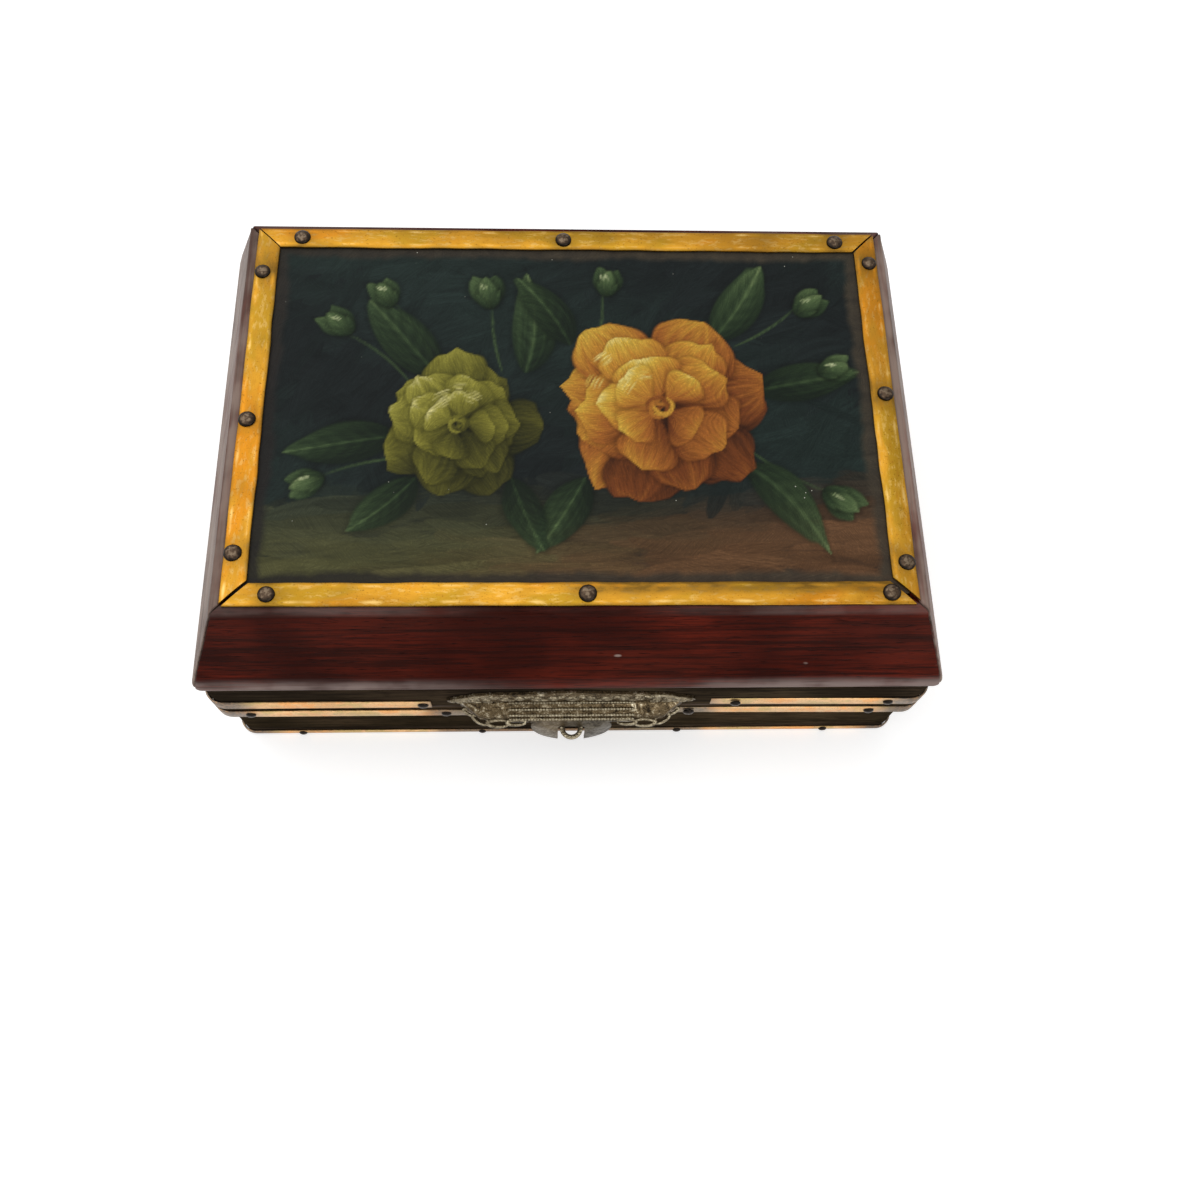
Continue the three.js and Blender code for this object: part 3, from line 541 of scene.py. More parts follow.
def heads_tree():
    """Sets a head on every point, facing the way the point's Facing attribute gives."""
    tree = GeometryTree("Heads on points", {
        "Points": "Geometry", "Head": "Object", "Size Spread": "Float", "Turn Spread": "Float",
        "Seed": "Int"})
    seed = tree.given["Seed"]
    head = tree.add("GeometryNodeObjectInfo", {"Object": tree.given["Head"]}, "Geometry")
    facing = tree.add("GeometryNodeInputNamedAttribute", {"Name": "Facing"}, data_type="FLOAT_VECTOR")
    aim = tree.add("FunctionNodeAlignRotationToVector", {"Vector": facing}, axis="Z")
    turn = tree.add("FunctionNodeRandomValue", {3: tree.given["Turn Spread"], "Seed": seed}, 1)
    spin = tree.add("FunctionNodeAxisAngleToRotation", {"Axis": (0, 0, 1), "Angle": turn})
    turned = tree.add(
        "FunctionNodeRotateRotation", {"Rotation": aim, "Rotate By": spin}, rotation_space="LOCAL")
    smallest = tree.calculate("SUBTRACT", 1, tree.given["Size Spread"])
    size = tree.add("FunctionNodeRandomValue", {2: smallest, "Seed": seed}, 1)
    return tree.ended(tree.add("GeometryNodeInstanceOnPoints", {
        "Points": tree.given["Points"], "Instance": head, "Rotation": turned, "Scale": size}))


def beads_tree():
    """Strings small round beads along the edges of a path."""
    tree = GeometryTree("Beads on a path", {
        "Path": "Geometry", "Pitch": "Float", "Radius": "Float", "Length Share": "Float"})
    curve = tree.add("GeometryNodeMeshToCurve", {0: tree.given["Path"]})
    even = tree.add(
        "GeometryNodeResampleCurve", {"Curve": curve, "Length": tree.given["Pitch"]}, mode="LENGTH")
    bead = tree.add("GeometryNodeMeshUVSphere", {"Segments": 8, "Rings": 6, "Radius": tree.given["Radius"]})
    rounded = tree.add("GeometryNodeSetShadeSmooth", {0: bead})
    tangent = tree.add("GeometryNodeInputTangent")
    aim = tree.add("FunctionNodeAlignRotationToVector", {"Vector": tangent}, axis="X")
    stretch = tree.add("ShaderNodeCombineXYZ", {"X": tree.given["Length Share"], "Y": 1, "Z": 1})
    return tree.ended(tree.add("GeometryNodeInstanceOnPoints", {
        "Points": even, "Instance": rounded, "Rotation": aim, "Scale": stretch}))


def ridges_tree():
    """Runs a round ridge along the edges of a path, as thick as the path's Girth attribute."""
    tree = GeometryTree("Ridges on a path", {"Path": "Geometry"})
    curve = tree.add("GeometryNodeMeshToCurve", {0: tree.given["Path"]})
    girth = tree.add("GeometryNodeInputNamedAttribute", {"Name": "Girth"}, data_type="FLOAT")
    ring = tree.add("GeometryNodeCurvePrimitiveCircle", {"Resolution": 8, "Radius": 1})
    sweep = tree.add("GeometryNodeCurveToMesh", {
        "Curve": curve, "Profile Curve": ring, "Scale": girth, "Fill Caps": True})
    return tree.ended(tree.add("GeometryNodeSetShadeSmooth", {0: sweep}))


def run_tree(name, mesh, tree, inputs):
    """Runs a tree on a mesh and keeps the result as a plain mesh."""
    piece = add_object(name, mesh)
    modifier = piece.modifiers.new(tree.name, "NODES")
    modifier.node_group = tree
    sockets = {item.name: item.identifier for item in tree.interface.items_tree if item.in_out == "INPUT"}
    for label, value in inputs.items():
        modifier[sockets[label]] = value
    return settle(piece)


def heads(name, spots, head, material, size_spread, seed):
    """One mesh with a copy of head at every spot, a pair of a point and the way it faces."""
    mesh = mesh_from(name, [point for point, _ in spots], [])
    keep_on_points(mesh, "Facing", "FLOAT_VECTOR", "vector", [value for _, way in spots for value in way])
    return run_tree(name, mesh, heads_tree(), {
        "Head": head, "Size Spread": size_spread, "Turn Spread": math.tau, "Seed": seed, "Finish": material})


def beads(name, paths, material, pitch, radius, length_share):
    """Round beads along paths. A length share above 1 lengthens them along the path."""
    return run_tree(name, paths_mesh(name, paths), beads_tree(), {
        "Pitch": pitch, "Radius": radius, "Length Share": length_share, "Finish": material})


def ridges(name, paths, material, thin=0.22 * MM, swell=0.42 * MM):
    """Round ridges along paths, thin at their ends and thicker between."""
    mesh = paths_mesh(name, paths)
    girths = [
        thin + swell * math.sin(math.pi * (step + 0.7) / (len(path) + 0.4)) for path in paths
        for step in range(len(path))]
    keep_on_points(mesh, "Girth", "FLOAT", "value", girths)
    return run_tree(name, mesh, ridges_tree(), {"Finish": material})


def turned_head(name, radius, height, rim, sides=24, rings=7, dents=0.0, seed=1):
    """A low dome with a short upright rim and a closed flat underside, standing on the origin."""
    shake = np.random.default_rng(seed)
    profile = [(radius, 0), (radius, rim)]
    for ring in range(1, rings):
        share = ring / rings * math.pi / 2
        profile.append((radius * math.cos(share), rim + (height - rim) * math.sin(share)))
    points = [(0, 0, 0)]
    for distance, rise in profile:
        for side in range(sides):
            angle = side / sides * math.tau
            out = distance * (1 + dents * 0.5 * shake.uniform(-1, 1) * (rise > 0))
            up = rise * (1 + dents * shake.uniform(-1, 1) * (rise > rim))
            points.append((out * math.cos(angle), out * math.sin(angle), up))
    points.append((0, 0, height))
    last = 1 + (len(profile) - 1) * sides
    faces = [(0, 1 + (side + 1) % sides, 1 + side) for side in range(sides)]
    faces += ring_faces(len(profile), sides, 1)
    faces += [(last + side, last + (side + 1) % sides, len(points) - 1) for side in range(sides)]
    mesh = mesh_from(name, points, faces)
    smooth(mesh, 50)
    return add_object(name, mesh)


def drop(piece):
    """Removes a piece that only served as a source."""
    mesh = piece.data
    bpy.data.objects.remove(piece)
    bpy.data.meshes.remove(mesh)


# Sizes and colours that a user would change

def number_field(name, description, default, subtype="NONE"):
    return FloatProperty(name=name, description=description, default=default, subtype=subtype)


def length_field(name, description, millimetres):
    return number_field(name, description, millimetres * MM, "DISTANCE")


def angle_field(name, description, degrees):
    return number_field(name, description, math.radians(degrees), "ANGLE")


def color_field(name, description, *default):
    return FloatVectorProperty(name=name, description=description, default=default, subtype="COLOR")


class WoodSettings(bpy.types.PropertyGroup):
    """Stains and wear of the box's woods."""

    deep_red: color_field("Deep red", "Dark grain of the lid", 0.034, 0.0042, 0.0020)
    warm_red: color_field("Warm red", "Light grain of the lid", 0.160, 0.0165, 0.0068)
    deep_brown: color_field("Deep brown", "Dark grain of the skirt and the floor board", 0.027, 0.020, 0.0135)
    warm_brown: color_field("Warm brown", "Light grain of the skirt and the floor board", 0.100, 0.070, 0.041)
    wall_deep: color_field("Wall deep", "Dark grain of the walls", 0.032, 0.024, 0.0135)
    wall_warm: color_field("Wall warm", "Light grain of the walls", 0.125, 0.085, 0.047)
    bare_deep: color_field("Bare deep", "Dark grain of the top board", 0.20, 0.10, 0.045)
    bare_warm: color_field("Bare warm", "Light grain of the top board", 0.42, 0.25, 0.12)
    # Pale rub on the edges: wear, and painted sheen on the lid's nose and shoulder
    worn_and_sheen: color_field("Worn edge", "Rubbed stain on the edges", 0.27, 0.205, 0.185)
    # Painted sheen on the lid's two ends
    side_sheen: color_field("Faded side", "Faded stain on the lid's two ends", 0.300, 0.228, 0.190)
    nose_corner: length_field("Nose corner", "Rounding of the lid's widest corners", 3.0)
    edge: length_field("Eased edge", "Rounding of the boards' edges", 0.5)


class BrassSettings(bpy.types.PropertyGroup):
    """Colours of the brass and sizes of its tacks."""

    gold: color_field("Gold", "Clean frame brass", 0.485, 0.238, 0.022)
    gold_tarnish: color_field("Gold tarnish", "Tarnished frame brass", 0.33, 0.152, 0.014)
    gold_stain: color_field("Gold stain", "Dark stain by the tacks and mitres", 0.150, 0.078, 0.012)
    pale: color_field("Pale brass", "Clean band brass", 0.93, 0.58, 0.28)
    pale_tarnish: color_field("Pale tarnish", "Tarnished band brass", 0.50, 0.28, 0.12)
    # Darker brass at the corners of the bands and beside the clasp
    band_dark: color_field("Band stain", "Dull brass at the corners of the bands", 0.17, 0.135, 0.105)
    aged_light: color_field("Aged light", "Rubbed high spots of the clasp", 0.56, 0.50, 0.36)
    aged: color_field("Aged brass", "Clasp and hinge brass", 0.155, 0.115, 0.065)
    aged_dark: color_field("Aged dark", "Dark hollows of the clasp", 0.022, 0.016, 0.010)
    # Tack crowns, rubbed and with a painted highlight; the tack shadow is painted shade and dirt round the
    # rims
    tack: color_field("Tack bronze", "Rubbed tack heads", 0.066, 0.041, 0.024)
    tack_dark: color_field("Tack shadow", "Dark of the tack heads", 0.018, 0.012, 0.008)
    strip_crown: length_field("Strip crown", "Rise of a frame strip's middle", 0.3)
    strip_wave: length_field("Strip wave", "Waviness of a frame strip's edges", 0.22)
    band_tack: length_field("Band tack", "Radius of the tacks in the bands", 1.8)


class PaintSettings(bpy.types.PropertyGroup):
    """The painted panel."""

    pitch: length_field("Pitch", "Spacing of the panel's grid", 0.5)
    thickness: length_field("Thickness", "Thickest dab of paint", 0.22)
    seed: IntProperty(name="Seed", description="Order of the strokes", default=11)


class LiningSettings(bpy.types.PropertyGroup):
    """Velvet of the lining."""

    velvet: color_field("Velvet", "Body of the velvet", 0.105, 0.010, 0.022)
    pile: color_field("Brushed pile", "Velvet brushed the other way", 0.20, 0.028, 0.045)
    puff: length_field("Puff", "Rise of the padding", 0.5)


class StageSettings(bpy.types.PropertyGroup):
    """Camera, lamps and floor."""

    camera_place: FloatVectorProperty(
        name="Camera place", description="Where the camera stands", subtype="XYZ", unit="LENGTH",
        precision=5, default=(-0.00711, -0.18785, 0.39570))
    pitch: angle_field("Pitch", "How far the camera looks down", 67.874)
    yaw: angle_field("Yaw", "How far the camera looks to the right", 6.639)
    roll: angle_field("Roll", "How far the camera leans", 5.959)
    lens: number_field("Lens", "Focal length in millimetres", 35.35)
    sensor: number_field("Sensor", "Sensor width in millimetres", 36.0)
    sky: number_field("Sky", "Strength of the surrounding light", 0.50)
    key: number_field("Key lamp", "Power of the large lamp", 9.0, "POWER")
    fill: number_field("Fill lamp", "Power of the lamp in front", 3.0, "POWER")
    floor: number_field("Floor", "Paleness of the floor", 0.80)
    floor_glow: number_field("Floor glow", "White of the floor where the camera or a gloss sees it", 0.30)
    floor_white: number_field("Floor white", "White added to it where only the camera sees it", 0.18)


def settings(name):
    return getattr(bpy.context.scene, f"jewelry_box_{name}")


# Boards and mirror

class JEWELRYBOX_OT_lid_boards(bpy.types.Operator):
    """Finish the sloped boards and the skirt of the lid"""

    bl_idname = "jewelrybox.lid_boards"
    bl_label = "Lid boards"

    def execute(self, context):
        look = settings("wood")
        # Pale bands along the nose and the shoulder: wear and painted sheen
        edges = ((NOSE_HEIGHT, 5.5 * MM, 0.95), (LID_TOP, 2.2 * MM, 0.28))
        # Painted sheen on the lid's two ends
        ends = ((NOSE_HEIGHT, 26 * MM, 1.0), (NOSE_HEIGHT + 14 * MM, 24 * MM, 0.95), (LID_TOP, 12 * MM, 0.80))
        for seed, side in enumerate(SIDES):
            along_x = side in LONG_SIDES
            wear_and_sheen = (edges, look.worn_and_sheen) if along_x else (ends, look.side_sheen)
            slope = wood(
                f"Red wood {side}", look.deep_red, look.warm_red, along_x, seed + 1, *wear_and_sheen, shine=0.02,
                face=LID_HALF_Y if along_x else LID_HALF_X)
            board = dress(f"lid_slope_{side}", slope, look.edge * 1.6, 3)
            round_corners(board, LID_HALF_X, LID_HALF_Y, look.nose_corner)
            skirt = wood(f"Skirt wood {side}", look.deep_brown, look.warm_brown, along_x, seed + 11)
            dress(f"lid_skirt_{side}", skirt, look.edge * 0.7)
        return {"FINISHED"}


class JEWELRYBOX_OT_body_boards(bpy.types.Operator):
    """Finish the floor board, the walls and the rim moulding"""

    bl_idname = "jewelrybox.body_boards"
    bl_label = "Body boards"

    def execute(self, context):
        look = settings("wood")
        top_edge = ((high("rim_moulding_front").z, 1.2 * MM, 0.5),)
        for seed, side in enumerate(SIDES):
            walls = (look.wall_deep, look.wall_warm, side in LONG_SIDES)
            dress(f"wall_{side}", wood(f"Wall wood {side}", *walls, seed + 21), look.edge * 0.7)
            rim = wood(f"Rim wood {side}", *walls, seed + 31, top_edge, look.worn_and_sheen)
            dress(f"rim_moulding_{side}", rim, look.edge * 0.7)
        dress("floor_board", wood("Floor wood", look.deep_brown, look.warm_brown, True, 41), look.edge)
        return {"FINISHED"}


class JEWELRYBOX_OT_lid_inside(bpy.types.Operator):
    """Finish the top board, the mirror and its beads"""

    bl_idname = "jewelrybox.lid_inside"
    bl_label = "Lid inside"

    def execute(self, context):
        look = settings("wood")
        dress("lid_top_board", wood("Bare wood", look.bare_deep, look.bare_warm, True, 51), look.edge)
        for seed, side in enumerate(SIDES):
            along_x = side in LONG_SIDES
            bead = wood(f"Bead wood {side}", look.deep_red, look.warm_red, along_x, seed + 61, gloss=0.3)
            dress(f"mirror_bead_{side}", bead, look.edge * 0.5)
        dress("mirror_glass", mirror_glass(), look.edge * 0.8)
        return {"FINISHED"}


def mirror_glass():
    """Silvering with a few dark freckles."""
    shader = Shader("Mirror glass", {"Metallic": 1.0})
    plain = shader.place()
    freckles = shader.times(
        shader.span(shader.cells(plain, 260), 0.16, 0.08),
        shader.span(shader.noise(plain, 30, 3), 0.60, 0.70))
    return shader.finished({
        "Base Color": shader.mix((0.80, 0.83, 0.84), (freckles, (0.12, 0.10, 0.09))),
        "Roughness": shader.span(shader.noise(plain, 18, 4), 0.35, 0.8, 0.015, 0.07)})


# The painted panel: strokes of paint laid on a grid

class Canvas:
    """Paint laid stroke by stroke on an even grid of points, in metres from the panel's middle."""

    def __init__(self, half_x, half_y, pitch, seed):
        self.x = np.linspace(-half_x, half_x, round(2 * half_x / pitch) + 1)
        self.y = np.linspace(-half_y, half_y, round(2 * half_y / pitch) + 1)
        shape = (len(self.y), len(self.x))
        self.color = np.zeros((*shape, 3))
        self.paint = np.zeros(shape)
        self.way = np.zeros(shape)
        self.random = np.random.default_rng(seed)

    def around(self, x, y, reach, angle):
        """The grid points near a place, with their distances along and across a heading."""
        left, right = np.searchsorted(self.x, (x - reach, x + reach))
        foot, top = np.searchsorted(self.y, (y - reach, y + reach))
        east = self.x[None, left:right] - x
        north = self.y[foot:top, None] - y
        along = east * math.cos(angle) + north * math.sin(angle)
        aside = north * math.cos(angle) - east * math.sin(angle)
        return np.s_[foot:top, left:right], along, aside

    def bristles(self, offset, count):
        """An uneven value across a brush, the same along its whole path."""
        return np.interp(offset, np.linspace(-1.1, 1.1, count), self.random.uniform(-1, 1, count))

    def lay(self, window, mask, color, thick, way):
        self.color[window] += (color - self.color[window]) * mask[..., None]
        self.paint[window] += (thick - 0.75 * self.paint[window]) * mask
        self.way[window] = np.where(mask > 0.35, way, self.way[window])

    def stroke(self, x, y, angle, length, width, color, bend=0.0, load=0.5, cover=1.0, dry=0.3):
        """One pull of a bristle brush. Bend is its rise at the ends as a share of its length."""
        window, along, aside = self.around(x, y, length / 2 + width, angle)
        share = along / (length / 2)
        aside = aside - bend * length * share ** 2
        half = width / 2 * np.sqrt(np.clip(1 - np.abs(share) ** 3, 0, 1))
        offset = aside / np.maximum(half, 1e-9)
        streak = self.bristles(offset, 15)
        edge = np.clip((1 - np.abs(offset)) * half / (0.35 * MM), 0, 1)
        mask = edge * np.clip((1 - share + 0.5 * streak) / (2 * dry), 0, 1) * cover
        ridge = np.exp(-(((np.abs(offset) - 0.82) / 0.16) ** 2))
        thick = load * (0.45 + 0.3 * streak + 0.45 * ridge)
        tint = np.array(color) * (1 + 0.20 * streak[..., None])
        self.lay(window, mask, tint, thick, angle + np.arctan(4 * bend * share))

    def blade(
            self, x, y, angle, length, width, shades, tone, swell=1.5, rim=0.3, curl=0.0, veins=0.0,
            cover=0.95):
        """A petal or leaf from its foot, streaked along its length. Swell moves its widest place outward."""
        window, along, aside = self.around(x, y, 1.3 * length, angle)
        v = (aside - curl * along ** 2 / length) / (width / 2)
        u = along / length * (1 + 0.05 * self.bristles(v, 9))
        inside = np.clip(u, 0, 1)
        half = np.sin(math.pi * inside ** swell) ** 0.7
        room = (half - np.abs(v)) * width / 2
        within = (u > 0) & (u < 1)
        edge = np.clip(room / (0.9 * MM), 0, 1) * within
        cast = np.clip((room + 1.6 * MM) / (2.6 * MM), 0, 1) * (u > 0) * (u < 1.06)
        self.color[window] *= 1 - 0.42 * cast[..., None]
        offset = np.clip(v / np.maximum(half, 0.05), -1.1, 1.1)
        streak = 0.65 * self.bristles(offset, 37) + 0.35 * self.bristles(offset + 0.12 * np.sin(7 * u), 13)
        toward = math.cos(angle + math.pi / 2 - LIGHT_FROM)
        lit = tone + rim * np.clip((inside - 0.45) / 0.5, 0, 1) ** 2 - 0.30 * (1 - inside) ** 2
        lit += 0.10 * streak + 0.13 * toward * offset - 0.10 * np.abs(offset) ** 3
        if veins:
            lit += veins * (0.30 * np.cos(math.tau * (6.5 * u - 1.6 * np.abs(offset))) * (1 - np.abs(offset)))
            lit += veins * 1.6 * np.exp(-((v / 0.075) ** 2))
        thick = 0.30 + 0.25 * streak + 0.5 * rim * inside ** 3
        self.lay(window, edge * cover, tinted(shades, lit), thick, angle + 0.55 * offset * (1 - inside))


def tinted(shades, share):
    """Colours between the shades, from the first at 0 to the last at 1."""
    places = np.linspace(0, 1, len(shades))
    return np.stack([np.interp(share, places, [tone[band] for tone in shades]) for band in range(3)], -1)


NIGHT = (0.0085, 0.0115, 0.0118)
POND = (0.0125, 0.0210, 0.0185)
MOSS = (0.086, 0.082, 0.030)
EARTH = (0.118, 0.056, 0.025)
UMBER = (0.066, 0.053, 0.036)
SOOT = (0.017, 0.015, 0.014)
AMBER_SHADES = (
    (0.045, 0.014, 0.006), (0.16, 0.045, 0.012), (0.34, 0.115, 0.022), (0.50, 0.235, 0.032),
    (0.62, 0.40, 0.055), (0.80, 0.70, 0.26),
)
OLIVE_SHADES = (
    (0.016, 0.017, 0.006), (0.050, 0.048, 0.011), (0.105, 0.098, 0.017), (0.19, 0.175, 0.028),
    (0.31, 0.285, 0.050), (0.68, 0.62, 0.27),
)
LEAF_SHADES = (
    (0.008, 0.014, 0.008), (0.019, 0.034, 0.015), (0.042, 0.070, 0.029), (0.085, 0.130, 0.052),
    (0.18, 0.24, 0.10), (0.55, 0.60, 0.34),
)
LIGHT_FROM = math.radians(125)


def ground_color(canvas, x, y):
    """Dark blue-green, with moss at the lower left and an earth band along the lower right."""
    across, up = x / canvas.x[-1], y / canvas.y[-1]
    color = mixed(NIGHT, POND, 0.5 + 0.5 * math.sin(3 * across + 4 * up))
    moss = np.clip((-up - 0.42) * 2.4, 0, 1) * np.clip(0.75 - across, 0, 1)
    earth = np.clip((-up - 0.60 + 0.26 * across) * 3.2, 0, 1) * np.clip(0.75 + 1.2 * across, 0, 1)
    return mixed(mixed(color, MOSS, 0.8 * moss), EARTH, 0.85 * earth)


def lay_ground(canvas):
    """Broad crossing strokes over the whole panel."""
    draw = canvas.random
    half_x, half_y = canvas.x[-1], canvas.y[-1]
    canvas.color[:] = NIGHT
    for _ in range(1300):
        x = draw.uniform(-half_x, half_x)
        y = draw.uniform(-half_y, half_y)
        level = y < -0.45 * half_y
        angle = draw.normal(0, 0.10) if level else draw.normal(0.5, 0.5)
        tone = np.array(ground_color(canvas, x, y)) * draw.uniform(0.72, 1.35)
        canvas.stroke(
            x, y, angle, draw.uniform(16, 40) * MM, draw.uniform(2.5, 8) * MM, tone,
            draw.normal(0, 0.05), 0.22, draw.uniform(0.35, 0.85))


def lay_border(canvas, strip_width):
    """The rubbed margin beside the brass, paler on the right and along the foot."""
    from_x = canvas.x[-1] - strip_width - np.abs(canvas.x)[None, :]
    from_y = canvas.y[-1] - strip_width - np.abs(canvas.y)[:, None]
    uneven_x = (1.2 * wave(canvas.y, 0.050, 3) + 0.5 * wave(canvas.y, 0.011, 4))[:, None] * MM
    uneven_y = (0.9 * wave(canvas.x, 0.060, 5) + 0.5 * wave(canvas.x, 0.012, 6))[None, :] * MM
    reach = np.minimum(from_x + uneven_x, from_y + uneven_y + 1.2 * MM)
    mask = np.clip(1 - (reach - 2.4 * MM) / (2.2 * MM), 0, 1) ** 1.3
    across, up = canvas.x[None, :] / canvas.x[-1], canvas.y[:, None] / canvas.y[-1]
    pale = np.clip(0.60 + 0.65 * across + 0.45 * np.clip(up, -0.2, 1), 0, 1.15)
    paler = (0.8 + 0.3 * wave(canvas.x, 0.013, 7))[None, :] * (0.8 + 0.3 * wave(canvas.y, 0.009, 8))[:, None]
    margin = np.array(SOOT) + (np.array(UMBER) - np.array(SOOT)) * (pale * paler)[..., None]
    canvas.color += (margin - canvas.color) * (0.88 * mask)[..., None]
    canvas.paint += (0.9 * np.exp(-(((reach - 3.4 * MM) / (0.9 * MM)) ** 2)) - 0.3 * mask) * 0.5


def lay_blossom(canvas, x, y, radius, shades):
    """A full blossom: four turns of overlapping petals, lit from one side, about a tight heart."""
    draw = canvas.random
    turns = ((7, 1.0, 0.80, 0.26), (6, 0.80, 0.70, 0.38), (5, 0.60, 0.60, 0.46), (4, 0.42, 0.46, 0.52))
    for count, length, width, tone in turns:
        start = draw.uniform(0, math.tau)
        order = draw.permutation(count)
        for place in order:
            turn = start + math.tau * place / count + draw.normal(0, 0.13)
            facing = math.cos(turn - LIGHT_FROM)
            reach = radius * length * draw.uniform(0.86, 1.08)
            canvas.blade(
                *off(x, y, radius * 0.10 * (1 - length), turn), turn, reach,
                radius * width * draw.uniform(0.9, 1.15), shades, tone + 0.17 * facing + draw.normal(0, 0.03),
                1.7, 0.20 + 0.10 * facing, draw.normal(0, 0.12), 0, 0.93)
    for step in range(13):
        turn = start + step * 2.4
        canvas.stroke(
            *off(x, y, radius * 0.035 * math.sqrt(step), turn), turn + math.pi / 2, radius * 0.17,
            radius * 0.05, tinted(shades, 0.25 + 0.4 * (step % 3) / 2), 0.18, 0.6, 0.9)
    for _ in range(4):
        turn = LIGHT_FROM + draw.normal(0, 0.75)
        distance = radius * draw.uniform(0.38, 0.82)
        heading = turn + math.pi / 2 + draw.normal(0, 0.2)
        for step in range(6):
            glint_x, glint_y = off(*off(x, y, distance, turn), (step - 2.5) * 0.75 * MM, turn)
            canvas.stroke(
                glint_x + draw.normal(0, 0.3) * MM, glint_y, heading, draw.uniform(3, 6.5) * MM, 0.8 * MM,
                tinted(shades, draw.uniform(0.80, 0.98)), 0.04, 0.95, 0.8, 0.5)


def lay_bud(canvas, x, y, angle, radius):
    """A closed bud of two wrapped petals between sepals, with a pale dab where the light falls."""
    draw = canvas.random
    foot = off(x, y, -radius, angle)
    for side, length, width, tone in ((-1, 1.9, 1.3, 0.34), (1, 2.0, 1.25, 0.46), (0, 1.8, 1.0, 0.56)):
        canvas.blade(
            *foot, angle + 0.16 * side, radius * length, radius * width, LEAF_SHADES,
            tone + draw.normal(0, 0.04), 1.0, 0.08, 0.10 * side, 0, 0.92)
    for side in (-1, 1):
        canvas.blade(
            *foot, angle + 0.75 * side, radius * 1.1, radius * 0.45, LEAF_SHADES, 0.30, 0.9, 0.2,
            -0.25 * side)
    glow_x, glow_y = off(x, y, 0.32 * radius, LIGHT_FROM)
    for step in range(4):
        canvas.stroke(
            glow_x + (step - 1.5) * 0.7 * MM, glow_y + draw.normal(0, 0.3) * MM, angle + draw.normal(0, 0.15),
            draw.uniform(2, 3.6) * MM, 0.7 * MM, tinted(LEAF_SHADES, draw.uniform(0.82, 1)), 0, 0.95, 0.85)


STEM_WIDTH = 1.3 * MM
# In millimetres and degrees. Blossoms: place, radius and shades. Leaves: foot, heading, length, width, tone.
# Buds: place, heading and radius. Stems: middle, heading and length, and bend as a share of the length.
BLOSSOMS = (((-34, -6), 25, OLIVE_SHADES), ((27, 0), 33, AMBER_SHADES))
LEAVES = (
    (-40, 10, 128, 36, 16, 0.26), (-52, -10, 188, 33, 15, 0.20), (-46, -24, 232, 26, 13, 0.24),
    (-14, 12, 72, 34, 15, 0.34), (0, 22, 112, 30, 13, 0.20), (44, 24, 50, 34, 15, 0.36),
    (56, 6, 12, 34, 14, 0.22), (52, -20, -34, 34, 15, 0.32), (4, -24, 244, 28, 14, 0.26),
    (-18, -24, 286, 26, 12, 0.18),
)
BUDS = (
    (-72, 30, 140, 6.5), (-58, 41, 118, 6), (-26, 42, 100, 7), (12, 46, 84, 6), (76, 38, 40, 6.5),
    (82, 14, 14, 6), (80, -32, -36, 7), (-78, -26, 200, 6),
)
STEMS = (
    (-60, 20, 142, 34, 0.08), (-48, 28, 122, 34, 0.06), (-24, 27, 96, 32, -0.05), (10, 34, 86, 28, 0.05),
    (64, 30, 38, 32, 0.06), (68, 9, 16, 30, -0.06), (66, -24, -30, 34, 0.06), (-64, -20, 196, 30, 0.06),
)


def paint_panel_canvas():
    look = settings("paint")
    lowest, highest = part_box("painted_panel")
    canvas = Canvas((highest.x - lowest.x) / 2, (highest.y - lowest.y) / 2, look.pitch, look.seed)
    lay_ground(canvas)
    for x, y, heading, length, bend in STEMS:
        canvas.stroke(
            x * MM, y * MM, math.radians(heading), length * MM, STEM_WIDTH, tinted(LEAF_SHADES, 0.42), bend,
            0.6, 0.8, 0.6)
    for x, y, heading, length, width, tone in LEAVES:
        canvas.blade(
            x * MM, y * MM, math.radians(heading), length * MM, width * MM, LEAF_SHADES, tone, 0.85, 0.10,
            canvas.random.normal(0, 0.15), 0.16, 0.85)
    for x, y, heading, radius in BUDS:
        lay_bud(canvas, x * MM, y * MM, math.radians(heading), radius * MM)
    for (x, y), radius, shades in BLOSSOMS:
        lay_blossom(canvas, x * MM, y * MM, radius * MM, shades)
    lay_border(canvas, STRIP_WIDTH - (FRAME_HALF_X - highest.x))
    return canvas


